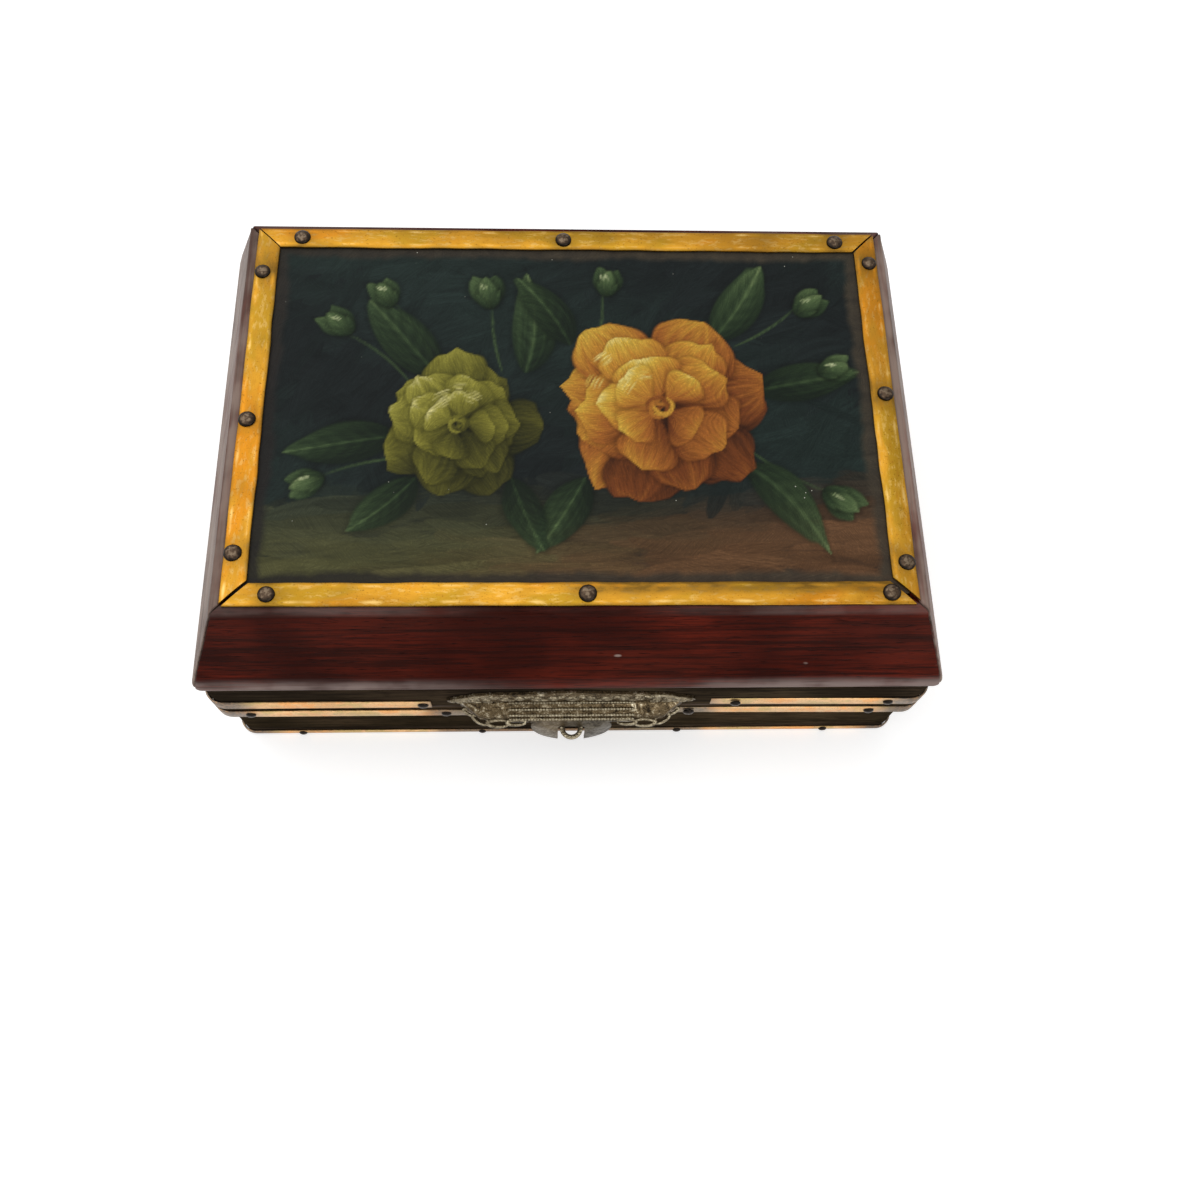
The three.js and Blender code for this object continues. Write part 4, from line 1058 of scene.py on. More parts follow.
class JEWELRYBOX_OT_painted_panel(bpy.types.Operator):
    """Paint the panel with a spray of blossoms in thick strokes"""

    bl_idname = "jewelrybox.painted_panel"
    bl_label = "Painted panel"

    def execute(self, context):
        look = settings("paint")
        canvas = paint_panel_canvas()
        lowest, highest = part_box("painted_panel")
        rows, columns = canvas.paint.shape
        grid_x, grid_y = np.meshgrid(canvas.x, canvas.y)
        base = highest.z - look.thickness * 0.5
        top = base + look.thickness * np.clip(canvas.paint, 0, 1.2)
        points = np.stack([grid_x, grid_y, top], -1).reshape(-1, 3)
        index, quads = grid_faces(rows, columns)
        rim = np.concatenate([index[0, :-1], index[:-1, -1], index[-1, :0:-1], index[:0:-1, 0]])
        foot = points[rim].copy()
        foot[:, 2] = lowest.z
        below = np.arange(len(rim)) + len(points)
        after = np.roll(below, -1)
        walls = np.stack([rim, below, after, np.roll(rim, -1)], -1)
        faces = [tuple(face) for face in np.concatenate([quads, walls]).tolist()]
        faces.append(tuple(below[::-1].tolist()))
        mesh = mesh_from("painted_blossoms", np.concatenate([points, foot]).tolist(), faces)
        count = len(mesh.vertices)
        color = np.zeros((count, 4), np.float32)
        color[:, 3] = 1
        color[:rows * columns, :3] = canvas.color.reshape(-1, 3)
        brush = np.zeros((count, 3), np.float32)
        brush[:rows * columns, 0] = np.cos(canvas.way).ravel()
        brush[:rows * columns, 1] = np.sin(canvas.way).ravel()
        keep_on_points(mesh, "Paint", "FLOAT_COLOR", "color", color.ravel())
        keep_on_points(mesh, "Brush", "FLOAT_VECTOR", "vector", brush.ravel())
        smooth(mesh, 60)
        seat(add_object(mesh.name, mesh), "lid", oil_paint(), ["painted_panel"])
        return {"FINISHED"}


def oil_paint():
    """Paint colour from the strokes, with bristle marks along each stroke, dust and a satin varnish."""
    shader = Shader("Oil paint", {"Specular IOR Level": 0.07})
    color = shader.add("ShaderNodeAttribute", output="Color", attribute_name="Paint")
    way = shader.add("ShaderNodeAttribute", output="Vector", attribute_name="Brush")
    plain = shader.place()

    def product(kind, first, second, output):
        return shader.add("ShaderNodeVectorMath", {0: first, 1: second}, output, operation=f"{kind}_PRODUCT")

    along = product("DOT", plain, way, "Value")
    across = product("DOT", plain, product("CROSS", (0, 0, 1), way, "Vector"), "Value")
    combed = shader.add("ShaderNodeCombineXYZ", {"X": shader.times(along, 0.10), "Y": across})
    bristle = shader.noise(combed, 2300, 3, 0.6)
    grain = shader.noise(plain, 1500, 3, 0.7)
    dust = shader.times(
        shader.span(shader.cells(plain, 420), 0.09, 0.05),
        shader.span(shader.noise(plain, 90, 1), 0.66, 0.70))
    color = shader.mix(color, (shader.span(bristle, 0.35, 0.7, 0.0, 0.30), (0, 0, 0)))
    lighter = shader.mix(color, (1.0, (1.45, 1.42, 1.35)), blend="MULTIPLY")
    color = shader.mix(color, (shader.span(grain, 0.50, 0.72, 0.0, 0.8), lighter), (dust, (0.50, 0.50, 0.42)))
    rough = shader.span(grain, 0.3, 0.7, 0.38, 0.55)
    return shader.finished(
        {"Base Color": color, "Roughness": rough}, (grain, 0.05 * MM, 0.5), (bristle, 0.08 * MM, 0.7))


# Brass frame and its tacks

SIDE_TURNS = {"back": 0.0, "left": math.pi / 2, "front": math.pi, "right": -math.pi / 2}
# Gaps of the mitres at the two ends of each strip, as its back stands: in order -X and +X before it is turned
MITRE_GAPS = {
    "back": (0.45 * MM, 0.55 * MM), "left": (1.1 * MM, 0.45 * MM),
    "front": (1.7 * MM, 1.1 * MM), "right": (0.55 * MM, 1.7 * MM),
}
STRIP_EDGE = 0.28 * MM
# Lengths of the waves in a strip's outer edge, inner edge and height
STRIP_WAVES = (60 * MM, 45 * MM, 50 * MM)
TACK_DENT = 4.2 * MM
TACK_SINK = 0.35 * MM


def wave(along, wavelength, seed):
    """A smooth, uneven line between about -1 and 1."""
    draw = np.random.default_rng(seed)
    total = np.zeros_like(along)
    for octave in range(4):
        length = wavelength / (1 + 0.8 * octave)
        total += np.sin(along / length * math.tau + draw.uniform(0, math.tau)) / (1.6 + octave)
    return total * 0.6


def strip_profile(width, thickness):
    """A strip's cut, as points out from its outer edge and up from its top, with both top edges rounded."""
    edge = STRIP_EDGE
    round_off = np.linspace(0, math.pi / 2, 4)
    outer = [(-edge + edge * math.cos(a), -edge + edge * math.sin(a)) for a in round_off]
    inner = [(edge - width - edge * math.sin(a), -edge + edge * math.cos(a)) for a in round_off]
    between = [(x, 0) for x in np.linspace(-edge, edge - width, 9)[1:-1]]
    return [(0, -thickness), *outer, *between, *inner, (-width, -thickness)]


def frame_strip(side, tacks, look, seed):
    """A crowned brass strip with wavy edges, mitred ends and a dimple at every tack."""
    half_along, half_across = FRAME_HALF_X, FRAME_HALF_Y
    if side not in LONG_SIDES:
        half_along, half_across = half_across, half_along
    lowest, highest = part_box(f"frame_strip_{side}")
    width = min(highest.x - lowest.x, highest.y - lowest.y)
    thickness = highest.z - lowest.z
    profile = strip_profile(width, thickness)
    steps = np.linspace(-1, 1, 241)
    run = steps * half_along
    outer_wave, inner_wave, lift = (
        wave(run, length, seed + order) * look.strip_wave for order, length in enumerate(STRIP_WAVES))
    lift = lift * 0.35
    dent = sum(np.exp(-(((run - tack) / TACK_DENT) ** 2)) for tack in tacks) * look.strip_crown * 0.9
    gap = np.where(steps < 0, *MITRE_GAPS[side]) / math.sqrt(2)
    points, stains_and_highlights = [], []
    for offset, rise in profile:
        share = -offset / width
        shifted_out = offset + (1 - share) * outer_wave * 0.6 + share * inner_wave
        arch = 1 - (2 * share - 1) ** 2
        up = STRIP_FOOT + thickness + rise
        up = up + (look.strip_crown * arch - dent * arch + lift if rise > -thickness else 0 * run)
        along = steps * (half_along + offset - gap)
        points.append(np.stack([along, half_across + shifted_out, up], -1))
        stains_and_highlights.append(strip_stain_and_highlight(side, along, share, tacks, half_along, seed))
    count = len(profile)
    last = (len(steps) - 1) * count
    faces = ring_faces(len(steps), count)
    faces += [tuple(range(count))[::-1], tuple(range(last, last + count))]
    mesh = mesh_from(f"brass_strip_{side}", np.stack(points, 1).reshape(-1, 3).tolist(), faces)
    mesh.transform(Matrix.Rotation(SIDE_TURNS[side], 4, "Z"))
    face_outward(mesh)
    smooth(mesh, 50)
    # Stain, and below 0 painted highlight, on the strip's points
    keep_on_points(mesh, "Stain", "FLOAT", "value", np.array(stains_and_highlights).T.ravel())
    return add_object(mesh.name, mesh)


def strip_stain_and_highlight(side, along, share, tacks, half_along, seed):
    """How dark a strip is at a share of its width from the outer edge, from -1 to 1: stains by the tacks, the
    mitres and in patches, darker along its edges, toward the back and on part of the front strip, and below 0
    a painted highlight.
    """
    rings = sum(np.exp(-(((along - tack) / (4.6 * MM)) ** 2)) for tack in tacks)
    ends = np.clip((np.abs(along) - half_along + 7 * MM) / (7 * MM), 0, 1) ** 2
    rims = 0.30 * math.exp(-((share / 0.07) ** 2)) + 0.42 * math.exp(-(((1 - share) / 0.09) ** 2))
    patch = np.clip(wave(along + 0.004 * share, 0.045, seed + 3), 0, 1)
    total = 0.55 * rings + 0.40 * ends + rims + 0.40 * patch
    if side == "back":
        total = total + 0.13
    if side in ("left", "right"):
        to_back = along * (1 if side == "left" else -1)
        total = total + 0.22 / (1 + np.exp(-(to_back - 15 * MM) / (12 * MM)))
    if side == "front":
        darker_half = 1 / (1 + np.exp((0.5 - share) / 0.05))
        total = total + 0.75 * darker_half * np.clip((10 * MM - along) / (20 * MM), 0, 1)
    # Painted highlights: two bright lines near the strip's edges, broken up along it
    shine = math.exp(-(((share - 0.13) / 0.07) ** 2)) + 0.7 * math.exp(-(((share - 0.86) / 0.06) ** 2))
    return np.clip(total - 1.1 * shine * np.clip(wave(along, 0.021, seed + 4) + 0.25, 0, 1), -1, 1)


class JEWELRYBOX_OT_brass_frame(bpy.types.Operator):
    """Make the four brass strips round the panel and the tacks that hold them"""

    bl_idname = "jewelrybox.brass_frame"
    bl_label = "Brass frame"

    def execute(self, context):
        look = settings("brass")
        tack_nodes = {side: [f"tack_{side}_{number}" for number in (1, 2, 3)] for side in SIDES}
        for seed, side in enumerate(SIDES):
            unturn = Matrix.Rotation(-SIDE_TURNS[side], 3, "Z")
            tacks = [(unturn @ middle(node)).x for node in tack_nodes[side]]
            strip = frame_strip(side, tacks, look, 5 * seed + 2)
            metal = brass(
                f"Frame brass {side}", look.gold, look.gold_tarnish, look.gold_stain, stain_and_highlight_by_vertex,
                seed + 1, 0.30, 38.0, 0.8, 0.35, drawn(0.35, side in LONG_SIDES))
            seat(strip, "lid", metal, [f"frame_strip_{side}"])
        lowest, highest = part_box("tack_front_1")
        head = turned_head(
            "tack_head_source", (highest.x - lowest.x) / 2, highest.z - lowest.z, TACK_SINK, dents=0.05)
        nodes = sum(tack_nodes.values(), [])
        spots = [((*middle(node).xy, lowest.z - TACK_SINK), (0, 0, 1)) for node in nodes]
        row = heads("frame_tacks", spots, head, tack_bronze(look, True), 0.10, 3)
        seat(row, "lid", None, nodes)
        drop(head)
        return {"FINISHED"}


def tack_bronze(look, upright):
    """Bronze with a painted highlight on a head's crown and painted shade round its rim, also rub and dirt.
    Upright heads face up, the rest sideways.
    """
    shader = Shader("Tack bronze up" if upright else "Tack bronze", {"Metallic": 0.85, "Roughness": 0.30})
    upward = shader.size(shader.axis("Z", "Normal"))
    grain = shader.noise(shader.place((1.7, 0.9, 0.4)), 900, 4, 0.6)
    # Painted highlight on the crown, painted shade toward the rim
    lit_crown = upward if upright else shader.minus(1.0, upward)
    lit_crown = shader.plus(lit_crown, shader.span(grain, 0.3, 0.7, -0.12, 0.08))
    color = shader.ramp(
        lit_crown, (0.50, darker(look.tack_dark, 0.4)), (0.80, look.tack_dark), (0.94, look.tack),
        (1.0, mixed(look.tack, (1.0, 0.8, 0.55), 0.08)))
    return shader.finished({"Base Color": color}, (grain, 0.12 * MM, 0.6))


# Brass bands and their tacks

BAND_SINK = 0.1 * MM
# Tacks along each side, in millimetres from its middle. The upper two bands have none at the box's two ends.
SKIRT_TACKS = {"front": (-46.6, 52, 101), "back": (-98, -32, 24, 96)}
RIM_TACKS = {"front": (-102, -40, 38, 97), "back": (-94, -28, 30, 99)}
FOOT_TACKS = {
    "front": (-91, -30, 37, 88), "back": (-90, -20, 26, 94), "left": (-55, 3, 58), "right": (-58, -4, 55),
}
BANDS = (("skirt_band", SKIRT_TACKS, 0.45), ("rim_band", RIM_TACKS, 0.45), ("foot_band", FOOT_TACKS, 0.95))
WAYS = {"back": (0, 1), "left": (-1, 0), "front": (0, -1), "right": (1, 0)}


def band_spot(node, side, along):
    """A point on a band and the way it faces."""
    x, y = WAYS[side]
    half_x, half_y = (half - BAND_SINK for half in high(node).xy)
    return (x * half_x + abs(y) * along, y * half_y + abs(x) * along, middle(node).z), (x, y, 0)


class JEWELRYBOX_OT_bands(bpy.types.Operator):
    """Finish the three brass bands and set the small tacks that hold them"""

    bl_idname = "jewelrybox.bands"
    bl_label = "Brass bands"

    def execute(self, context):
        look = settings("brass")
        for seed, (node, tacks, tarnished) in enumerate(BANDS):
            metal = brass(
                f"Band brass {node}", look.pale, look.pale_tarnish, look.band_dark, darker_at_corners,
                seed + 5, 0.34, 60.0, tarnished, 0.3)
            dress(node, metal, 0.12 * MM)
            radius = min(look.band_tack, middle(node).z * 0.9)
            head = turned_head("band_tack_source", radius, radius * 0.6, 0.2 * MM, 20, 6, 0.05, 4)
            spots = [band_spot(node, side, along * MM) for side, places in tacks.items() for along in places]
            row = heads(f"{node}_tacks", spots, head, tack_bronze(look, False), 0.12, seed + 7)
            seat(row, body_of(node))
            drop(head)
        return {"FINISHED"}


# Clasp

HOOD_BEAD_HALF = 19.2 * MM
HOOD_DEPTH = 4.9 * MM
HOOD_RISE = 4.4 * MM
HOOD_SINK = 0.5 * MM
HOOD_OVER_PIN = 2.4 * MM
HOOD_BEAD_SHARES = (0.12, 0.38, 0.64, 0.9)
BEAD_LIFT = 0.25 * MM
# Pitch, radius and length share
HOOD_BEADS = (0.95 * MM, 0.5 * MM, 1.15)
STAPLE_BEADS = (1.0 * MM, 0.48 * MM, 1.0)
STAPLE_BEAD_OUT = 0.3 * MM
STAPLE_BEAD_LIFT = 0.55 * MM
PLATE_STAND = 1.1 * MM
FLAP_SHADE = (0.50, 0.56, 0.66)


def aged_brass(look, seed, scale=420.0, lift=0.0):
    """The clasp's metal. Lift makes it paler, and below 0 darker."""
    return worn_brass(
        f"Aged brass {seed}", seed, look.aged_light, mixed(look.aged, look.aged_light, lift),
        mixed(look.aged_dark, look.aged, lift), scale)


def spiral(center_x, center_z, radius, start, turns, hand):
    """Points of a scroll from its outside to its eye, as millimetres across and up the plate."""
    points = []
    for step in range(15):
        share = step / 14
        angle = math.radians(start) + hand * share * turns * math.tau
        points.append(off(center_x, center_z, radius * (1 - 0.82 * share), angle))
    return points


def frond(start_x, start_z, heading, length, bend):
    """Points of a leaf's curved rib, as millimetres across and up the plate."""
    points = [(start_x, start_z)]
    angle = math.radians(heading)
    for _ in range(8):
        points.append(off(*points[-1], length / 8, angle))
        angle += math.radians(bend) / 8
    return points


# One half of the plate's relief, in millimetres across and up from the hood's top.
EAR_RIM = (
    (25.4, 6.9), (28.0, 6.5), (30.0, 6.0), (31.9, 4.8), (34.8, 3.7), (37.2, 2.5), (37.5, 1.7), (36.4, 0.9))
# Middle, radius, start and turning hand of each scroll, and foot, heading, length and bend of each rib
EAR_SCROLLS = (
    (34.6, 2.0, 1.5, 90, 1), (30.4, 3.4, 2.1, 200, -1), (26.6, 2.2, 1.5, 20, 1), (26.4, 5.4, 1.0, 120, -1))
EAR_RIBS = (
    (28.2, 0.8, 10, 5.0, 50), (31.6, 0.9, 25, 4.6, 30), (24.6, 0.8, 20, 4.0, 60), (29.0, 5.6, -10, 3.4, -50),
    (24.2, 6.6, -35, 3.4, 60), (32.6, 3.8, -50, 2.8, 60), (28.4, 1.6, 70, 3.6, 30),
)
TOP_SCROLLS = ((0.0, 2.1), (5.6, 1.9), (10.8, 2.0), (16.0, 1.8), (20.8, 1.7))


def clasp_relief():
    """Paths of the scrolls and ribs on the clasp plate, in millimetres across and up from the hood's top."""
    paths = []
    for hand in (-1, 1):
        half = [EAR_RIM]
        half += [spiral(x, z, radius, start, 1.35, turned) for x, z, radius, start, turned in EAR_SCROLLS]
        half += [frond(*rib) for rib in EAR_RIBS]
        for number, (x, radius) in enumerate(TOP_SCROLLS):
            turned = 1 if number % 2 else -1
            half.append(spiral(x, 4.2, radius, 200 * (number % 2) + 40, 1.35, turned))
            half.append(frond(x + radius, 4.2 - 1.8 * turned, 10 * turned, 3.4, 60 * turned))
        paths += [[(hand * across, up) for across, up in path] for path in half]
    return paths


# The leafy apron under the hood: along its lower edge, each leaf's start and end, and how far it stands out
APRON_EDGE = ((14.2, 0), (25.7, 0), (34.4, 4.6))
APRON_LEAVES = ((0.2, 6.2, 1.7), (5.4, 12.0, 2.3), (11.4, 17.0, 2.5), (16.2, 20.6, 1.5))


def apron_paths():
    """Leaf outlines, in millimetres across, out and up from the middle of the hood's lower front edge."""
    edge = [Vector(point) for point in APRON_EDGE]
    first = (edge[1] - edge[0]).length
    paths = []
    for start, end, stand in APRON_LEAVES:
        path = []
        for step in range(17):
            angle = math.tau * step / 16
            along = start + (end - start) * (1 - math.cos(angle)) / 2
            out = stand * (0.5 + 0.5 * math.sin(angle)) if step not in (0, 16) else 0
            leg = 0 if along < first else 1
            way = (edge[leg + 1] - edge[leg]).normalized()
            spot = edge[leg] + way * (along - first * leg)
            path.append((spot.x + way.y * out * 0.8, spot.y - way.x * out * 0.8, -0.25 - out * 0.55))
        paths.append(path)
    return [[(hand * x, y, z) for x, y, z in path] for hand in (-1, 1) for path in paths]


class JEWELRYBOX_OT_clasp(bpy.types.Operator):
    """Finish the clasp, the hasp and the staple, with scrolls on its plate and beads along its hood"""

    bl_idname = "jewelrybox.clasp"
    bl_label = "Clasp"

    def execute(self, context):
        look = settings("brass")
        dress("clasp_plate", aged_brass(look, 12, lift=-0.05), 0.10 * MM, 1, 45)
        flap = worn_brass(
            "Flap brass", 13, mixed(look.aged, look.aged_light, 0.25), look.aged,
            mixed(look.aged_dark, look.aged, 0.3), 260.0, 0.4, FLAP_SHADE)
        dress("hasp_flap", flap, 0.22 * MM, 2, 45)
        dress("hasp_pin", aged_brass(look, 14), 0.15 * MM)
        dress("keeper_plate", aged_brass(look, 15), 0.15 * MM)
        dress("staple_loop", aged_brass(look, 16, lift=0.35), 0.10 * MM, 1, 60)
        hood_foot = middle("hasp_pin").z + HOOD_OVER_PIN
        self.bead_hood(look, hood_foot)
        self.raise_relief(look, hood_foot)
        self.bead_staple(look)
        return {"FINISHED"}

    def bead_hood(self, look, hood_foot):
        lines = []
        for share in HOOD_BEAD_SHARES:
            turn = share * math.pi / 2
            y = -SKIRT_HALF_Y - HOOD_SINK - (HOOD_DEPTH + BEAD_LIFT) * math.cos(turn)
            z = hood_foot + (HOOD_RISE + BEAD_LIFT) * math.sin(turn)
            lines.append([(-HOOD_BEAD_HALF, y, z), (HOOD_BEAD_HALF, y, z)])
        beading = beads("hood_beading", lines, aged_brass(look, 17, 900.0, 0.5), *HOOD_BEADS)
        seat(beading, "lid")

    def bead_staple(self, look):
        lowest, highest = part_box("staple_loop")
        bend = highest.x - (highest.z - lowest.z) / 2 + STAPLE_BEAD_OUT
        height = middle("staple_loop").z + STAPLE_BEAD_LIFT
        inner_end = low("keeper_plate").y
        path = [(-bend, inner_end, height)]
        for step in range(13):
            turn = math.pi * step / 12
            path.append((-bend * math.cos(turn), lowest.y + highest.x - bend * math.sin(turn), height))
        path.append((bend, inner_end, height))
        beading = beads("staple_beading", [path], aged_brass(look, 19, 900.0, 0.6), *STAPLE_BEADS)
        seat(beading, body_of("staple_loop"))

    def raise_relief(self, look, hood_foot):
        plate = -SKIRT_HALF_Y - PLATE_STAND
        top = hood_foot + HOOD_RISE
        front = -SKIRT_HALF_Y - HOOD_SINK - HOOD_DEPTH
        paths = [[(x * MM, plate, top + up * MM) for x, up in path] for path in clasp_relief()]
        paths += [
            [(x * MM, front + out * MM, hood_foot + up * MM) for x, out, up in path]
            for path in apron_paths()]
        seat(ridges("clasp_relief", paths, aged_brass(look, 18, 700.0, 0.3)), "lid")


# Hinges

SCREW_RADIUS = 1.25 * MM
SCREW_RISE = 0.5 * MM
SCREW_SLOT = 0.35 * MM
SCREW_SINK = 0.22 * MM
LEAF_HALF = 0.1 * MM
# Screws of each leaf, in millimetres along it and in from its edge
LEAF_SCREWS = ((-8.2, 3.2), (0, 5.0), (8.2, 3.2))


def countersunk_head(name, radius, height, slot):
    """A low screw head with a straight slot."""
    head = turned_head(name, radius, height, height * 0.35, 20, 5)
    cutter = bpy.data.meshes.new("slot_source")
    with opened(cutter) as form:
        bmesh.ops.create_cube(form, size=1)
        bmesh.ops.scale(form, vec=(radius * 3, slot, height), verts=form.verts)
        bmesh.ops.translate(form, vec=(0, 0, height * 1.05), verts=form.verts)
    blade = add_object("slot_source", cutter)
    sawn = head.modifiers.new("Slot", "BOOLEAN")
    sawn.operation = "DIFFERENCE"
    sawn.object = blade
    smooth(settle(head).data, 40)
    drop(blade)
    return head


class JEWELRYBOX_OT_hinges(bpy.types.Operator):
    """Finish the two butt hinges and set their screws"""

    bl_idname = "jewelrybox.hinges"
    bl_label = "Hinges"

    def execute(self, context):
        look = settings("brass")
        screw = countersunk_head("screw_head_source", SCREW_RADIUS, SCREW_RISE, SCREW_SLOT)
        for half, body, up in (("body", "base", 1), ("lid", "lid", -1)):
            face = middle("hinge_pin_left").z - up * (LEAF_HALF + SCREW_SINK)
            spots = []
            for seed, hand in enumerate(HANDS):
                node = f"hinge_{half}_leaf_{hand}"
                dress(node, aged_brass(look, 20 + seed), 0.10 * MM, 2, 40)
                spots += [
                    ((middle(node).x + along * MM, low(node).y + depth * MM, face), (0, 0, up))
                    for along, depth in LEAF_SCREWS]
            row = heads(f"hinge_{half}_screws", spots, screw, aged_brass(look, 24), 0.04, 12)
            seat(row, body)
        for seed, hand in enumerate(HANDS):
            dress(f"hinge_pin_{hand}", aged_brass(look, 26 + seed), 0.2 * MM)
        drop(screw)
        return {"FINISHED"}


# Velvet lining

CLOTH_PITCH = 2.0 * MM
CARD_THICKNESS = 1.4 * MM
PAD_EDGE = 1.4 * MM
DIVIDER_EDGE = 1.15 * MM
DIVIDERS = {"long_divider": 1, "cross_divider_left": 0, "cross_divider_right": 0}


def padded_board(name, lowest, highest, thin, edge, seed, puff=0):
    """A padded card in cloth between two corners: rounded edges and a soft rise along its thin axis."""
    wide, tall = [axis for axis in range(3) if axis != thin]
    near_edge = np.array([0, 0.05, 0.2, 0.45, 0.75, 1.0]) * edge

    def lines(axis):
        length = highest[axis] - lowest[axis]
        count = max(round((length - 2 * edge) / CLOTH_PITCH), 2) + 1
        inside = np.linspace(edge, length - edge, count)[1:-1]
        return np.concatenate([near_edge, inside, length - near_edge[::-1]])

    def roll(along, length):
        near = np.clip(np.minimum(along, length - along) / edge, 0, 1)
        return np.sqrt(np.clip(1 - (1 - near) ** 2, 0, 1))

    u, v = np.meshgrid(lines(wide), lines(tall))
    length_u = highest[wide] - lowest[wide]
    length_v = highest[tall] - lowest[tall]
    rise = roll(u, length_u) * roll(v, length_v)
    shape = (1 - (2 * u / length_u - 1) ** 4) * (1 - (2 * v / length_v - 1) ** 4)
    lumps = wave(u + 0.6 * v, 0.034, seed) * wave(v - 0.4 * u, 0.027, seed + 1)
    half = (highest[thin] - lowest[thin]) / 2
    layers = []
    for side in (1, -1):
        swell = puff * (shape * (0.75 + 0.25 * lumps) - 1) if side > 0 else 0
        layer = np.zeros((*u.shape, 3))
        layer[..., wide] = lowest[wide] + u
        layer[..., tall] = lowest[tall] + v
        layer[..., thin] = (lowest[thin] + half) + side * rise * (half + swell)
        layers.append(layer.reshape(-1, 3))
    _, quads = grid_faces(*u.shape)
    both = np.concatenate([quads, quads[:, ::-1] + u.size])
    mesh = mesh_from(name, np.concatenate(layers).tolist(), [tuple(face) for face in both.tolist()])
    face_outward(mesh)
    smooth(mesh, 80)
    return add_object(name, mesh)


def velvet(name, look, seed):
    """Short pile that shows lighter where it is brushed the other way."""
    shader = Shader(name, {
        "Roughness": 0.92, "Specular IOR Level": 0.15, "Sheen Weight": 0.35, "Sheen Roughness": 0.35,
        "Sheen Tint": (0.85, 0.35, 0.40)})
    plain = shader.place(shifted(seed, (0.11, 0.07, 0.05)))
    brushed = shader.noise(plain, 38, 4, 0.6, 0.8)
    tufts = shader.noise(plain, 2600, 3, 0.7)
    color = shader.mix(
        look.velvet, (shader.span(brushed, 0.40, 0.66), look.pile),
        (shader.span(tufts, 0.45, 0.7, 0.0, 0.5), darker(look.velvet, 0.6)))
    return shader.finished({"Base Color": color}, (tufts, 0.18 * MM, 0.8), (brushed, 0.6 * MM, 0.25))


class JEWELRYBOX_OT_lining(bpy.types.Operator):
    """Make the velvet pad, the four lining cards and the three dividers"""

    bl_idname = "jewelrybox.lining"
    bl_label = "Lining"

    def execute(self, context):
        look = settings("lining")
        cloth = velvet("Wine velvet", look, 1)
        pad = padded_board("velvet_pad", *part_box("floor_pad"), 2, PAD_EDGE, 3, look.puff)
        seat(pad, "base", cloth, ["floor_pad"])
        lowest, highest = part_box("wall_lining")
        card = CARD_THICKNESS
        spans = {
            "back": ((lowest.x, highest.y - card), (highest.x, highest.y)),
            "front": ((lowest.x, lowest.y), (highest.x, lowest.y + card)),
            "left": ((lowest.x, lowest.y + card), (lowest.x + card, highest.y - card)),
            "right": ((highest.x - card, lowest.y + card), (highest.x, highest.y - card)),
        }
        for seed, (side, (start, end)) in enumerate(spans.items()):
            corners = (Vector((*start, lowest.z)), Vector((*end, highest.z)))
            panel = padded_board(f"lining_card_{side}", *corners, int(side in LONG_SIDES), card / 2, 5 + seed)
            replaced = ["wall_lining"] if side == "back" else []
            seat(panel, "base", cloth, replaced)
        for seed, (node, thin) in enumerate(DIVIDERS.items()):
            wrap = padded_board(f"{node}_velvet", *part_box(node), thin, DIVIDER_EDGE, 11 + seed)
            seat(wrap, "base", cloth, [node])
        return {"FINISHED"}


# Stage

AIM = Vector((0, 0, 0.05))
KEY_PLACE = (-0.45, 0.25, 1.05)
KEY_SIZE = 1.6
FILL_PLACE = (0.55, -0.85, 0.65)
FILL_SIZE = 0.7
FLOOR_REACH = 4.0
BACKGROUND_WHITE = 0.95


def background_rays(nodes):
    """1 for the rays that show the background: camera, glossy and transmission rays."""
    rays = 0.0
    for kind in ("Camera", "Glossy", "Transmission"):
        ray = nodes.add("ShaderNodeLightPath", output=f"Is {kind} Ray")
        rays = nodes.calculate("MAXIMUM", rays, ray)
    return rays


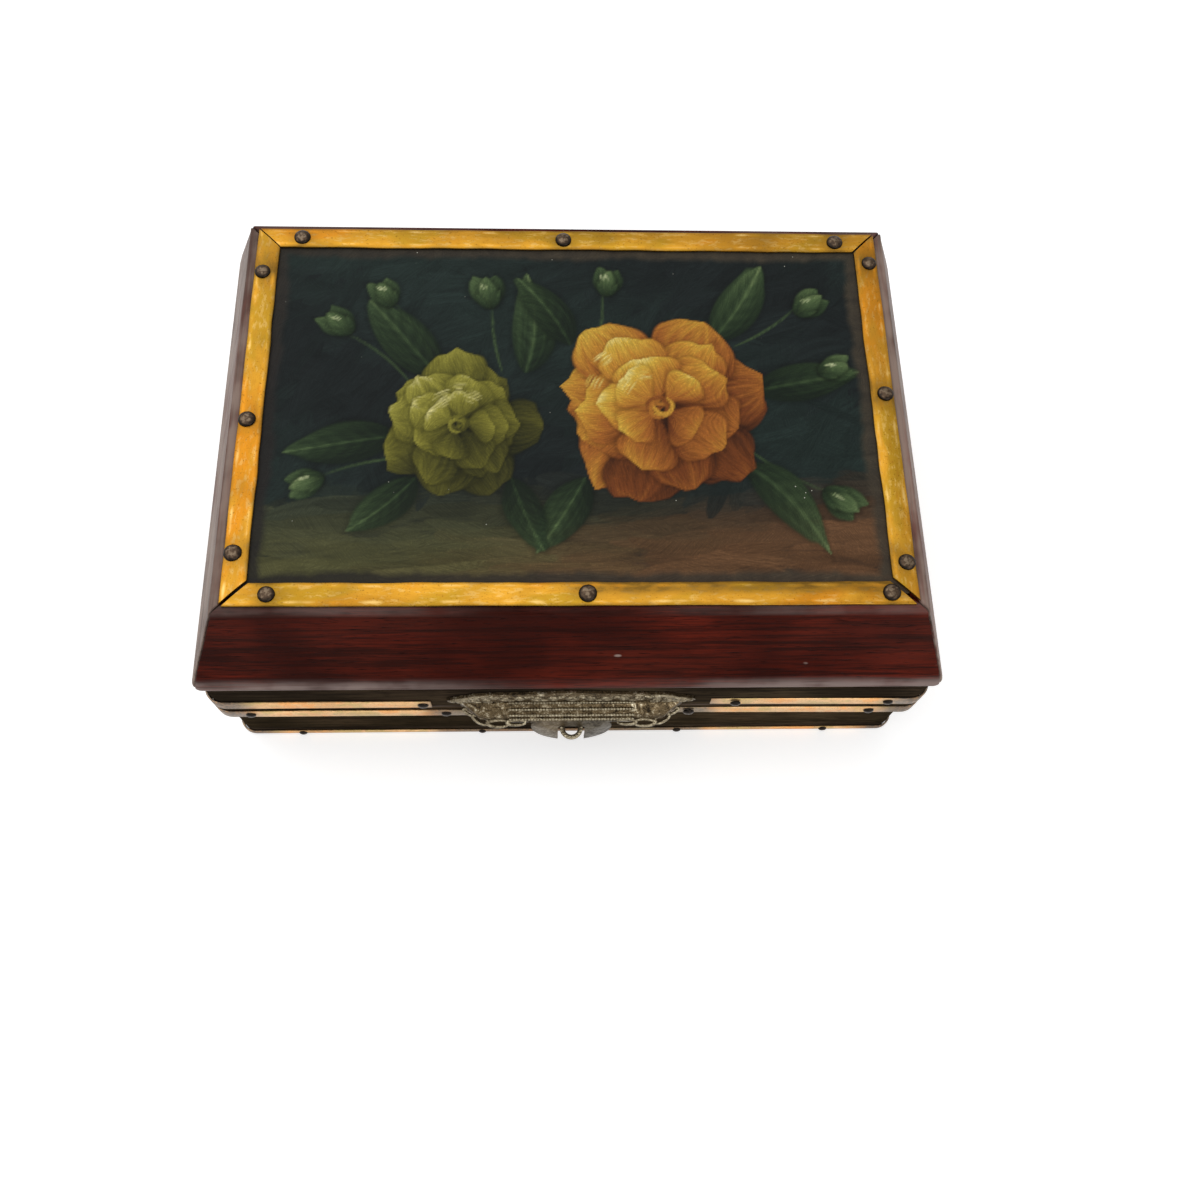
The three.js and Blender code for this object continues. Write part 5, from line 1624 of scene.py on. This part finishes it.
class JEWELRYBOX_OT_stage(bpy.types.Operator):
    """Set the camera, the lamps, the surrounding light and the floor"""

    bl_idname = "jewelrybox.stage"
    bl_label = "Stage"

    def execute(self, context):
        look = settings("stage")
        self.place_camera(look)
        self.place_lamps(look)
        self.lay_floor(look)
        self.light_world(look)
        context.scene.view_settings.view_transform = "Standard"
        return {"FINISHED"}

    def place_camera(self, look):
        forward = Vector((
            math.sin(look.yaw) * math.cos(look.pitch), math.cos(look.yaw) * math.cos(look.pitch),
            -math.sin(look.pitch)))
        level = Vector((math.cos(look.yaw), -math.sin(look.yaw), 0))
        above = level.cross(forward)
        right = math.cos(look.roll) * level + math.sin(look.roll) * above
        up = math.cos(look.roll) * above - math.sin(look.roll) * level
        data = bpy.data.cameras.new("Photo camera")
        data.sensor_width = look.sensor
        data.lens = look.lens
        data.clip_start = 0.01
        camera = add_object("Photo camera", data)
        turn = Matrix((right, up, -forward)).transposed().to_4x4()
        camera.matrix_world = Matrix.Translation(look.camera_place) @ turn
        bpy.context.scene.camera = camera

    def place_lamps(self, look):
        lamps = (("Key lamp", KEY_PLACE, KEY_SIZE, look.key), ("Fill lamp", FILL_PLACE, FILL_SIZE, look.fill))
        for name, place, size, power in lamps:
            data = bpy.data.lights.new(name, "AREA")
            data.shape = "SQUARE"
            data.size = size
            data.energy = power
            lamp = add_object(name, data)
            lamp.location = place
            lamp.rotation_mode = "QUATERNION"
            lamp.rotation_quaternion = (AIM - Vector(place)).to_track_quat("-Z", "Y")

    def lay_floor(self, look):
        corners = [(x * FLOOR_REACH, y * FLOOR_REACH, 0) for x, y in ((-1, -1), (1, -1), (1, 1), (-1, 1))]
        floor = add_object("pale_floor", mesh_from("pale_floor", corners, [(0, 1, 2, 3)]))
        shader = Shader("Pale floor", {"Roughness": 0.8, "Specular IOR Level": 0.0})
        seen = shader.add("ShaderNodeLightPath", output="Is Camera Ray")
        glow = shader.plus(
            shader.times(background_rays(shader), look.floor_glow), shader.times(seen, look.floor_white))
        floor.data.materials.append(shader.finished({
            "Base Color": (look.floor,) * 3, "Emission Color": (1, 1, 1), "Emission Strength": glow}))

    def light_world(self, look):
        world = bpy.data.worlds.new("Studio")
        bpy.context.scene.world = world
        world.use_nodes = True
        nodes = Nodes(world.node_tree)
        strength = nodes.add("ShaderNodeMapRange", {
            "Value": background_rays(nodes), "To Min": look.sky, "To Max": BACKGROUND_WHITE})
        nodes.feed(nodes.tree.nodes["Background"], {"Color": (1, 1, 1), "Strength": strength})


OPERATORS = (
    JEWELRYBOX_OT_body_boards, JEWELRYBOX_OT_lid_boards, JEWELRYBOX_OT_lid_inside,
    JEWELRYBOX_OT_painted_panel, JEWELRYBOX_OT_brass_frame, JEWELRYBOX_OT_bands, JEWELRYBOX_OT_clasp,
    JEWELRYBOX_OT_hinges, JEWELRYBOX_OT_lining, JEWELRYBOX_OT_stage,
)
GROUPS = {
    "wood": WoodSettings, "brass": BrassSettings, "paint": PaintSettings, "lining": LiningSettings,
    "stage": StageSettings,
}


class JEWELRYBOX_PT_panel(bpy.types.Panel):
    """Lists the steps that finish the box"""

    bl_idname = "JEWELRYBOX_PT_panel"
    bl_label = "Jewelry box"
    bl_space_type = "VIEW_3D"
    bl_region_type = "UI"
    bl_category = "Jewelry Box"

    def draw(self, context):
        for operator in OPERATORS:
            self.layout.operator(operator.bl_idname)
        for name, group in GROUPS.items():
            box = self.layout.box()
            box.label(text=name.title())
            for field in group.__annotations__:
                box.prop(settings(name), field)


def register():
    for group in (*GROUPS.values(), *OPERATORS, JEWELRYBOX_PT_panel):
        bpy.utils.register_class(group)
    for name, group in GROUPS.items():
        setattr(bpy.types.Scene, f"jewelry_box_{name}", PointerProperty(type=group))


def unregister():
    for name in GROUPS:
        delattr(bpy.types.Scene, f"jewelry_box_{name}")
    for group in reversed((*GROUPS.values(), *OPERATORS, JEWELRYBOX_PT_panel)):
        bpy.utils.unregister_class(group)


def main():
    register()
    for operator in OPERATORS:
        group, step = operator.bl_idname.split(".")
        getattr(getattr(bpy.ops, group), step)()


if __name__ == "__main__":
    main()
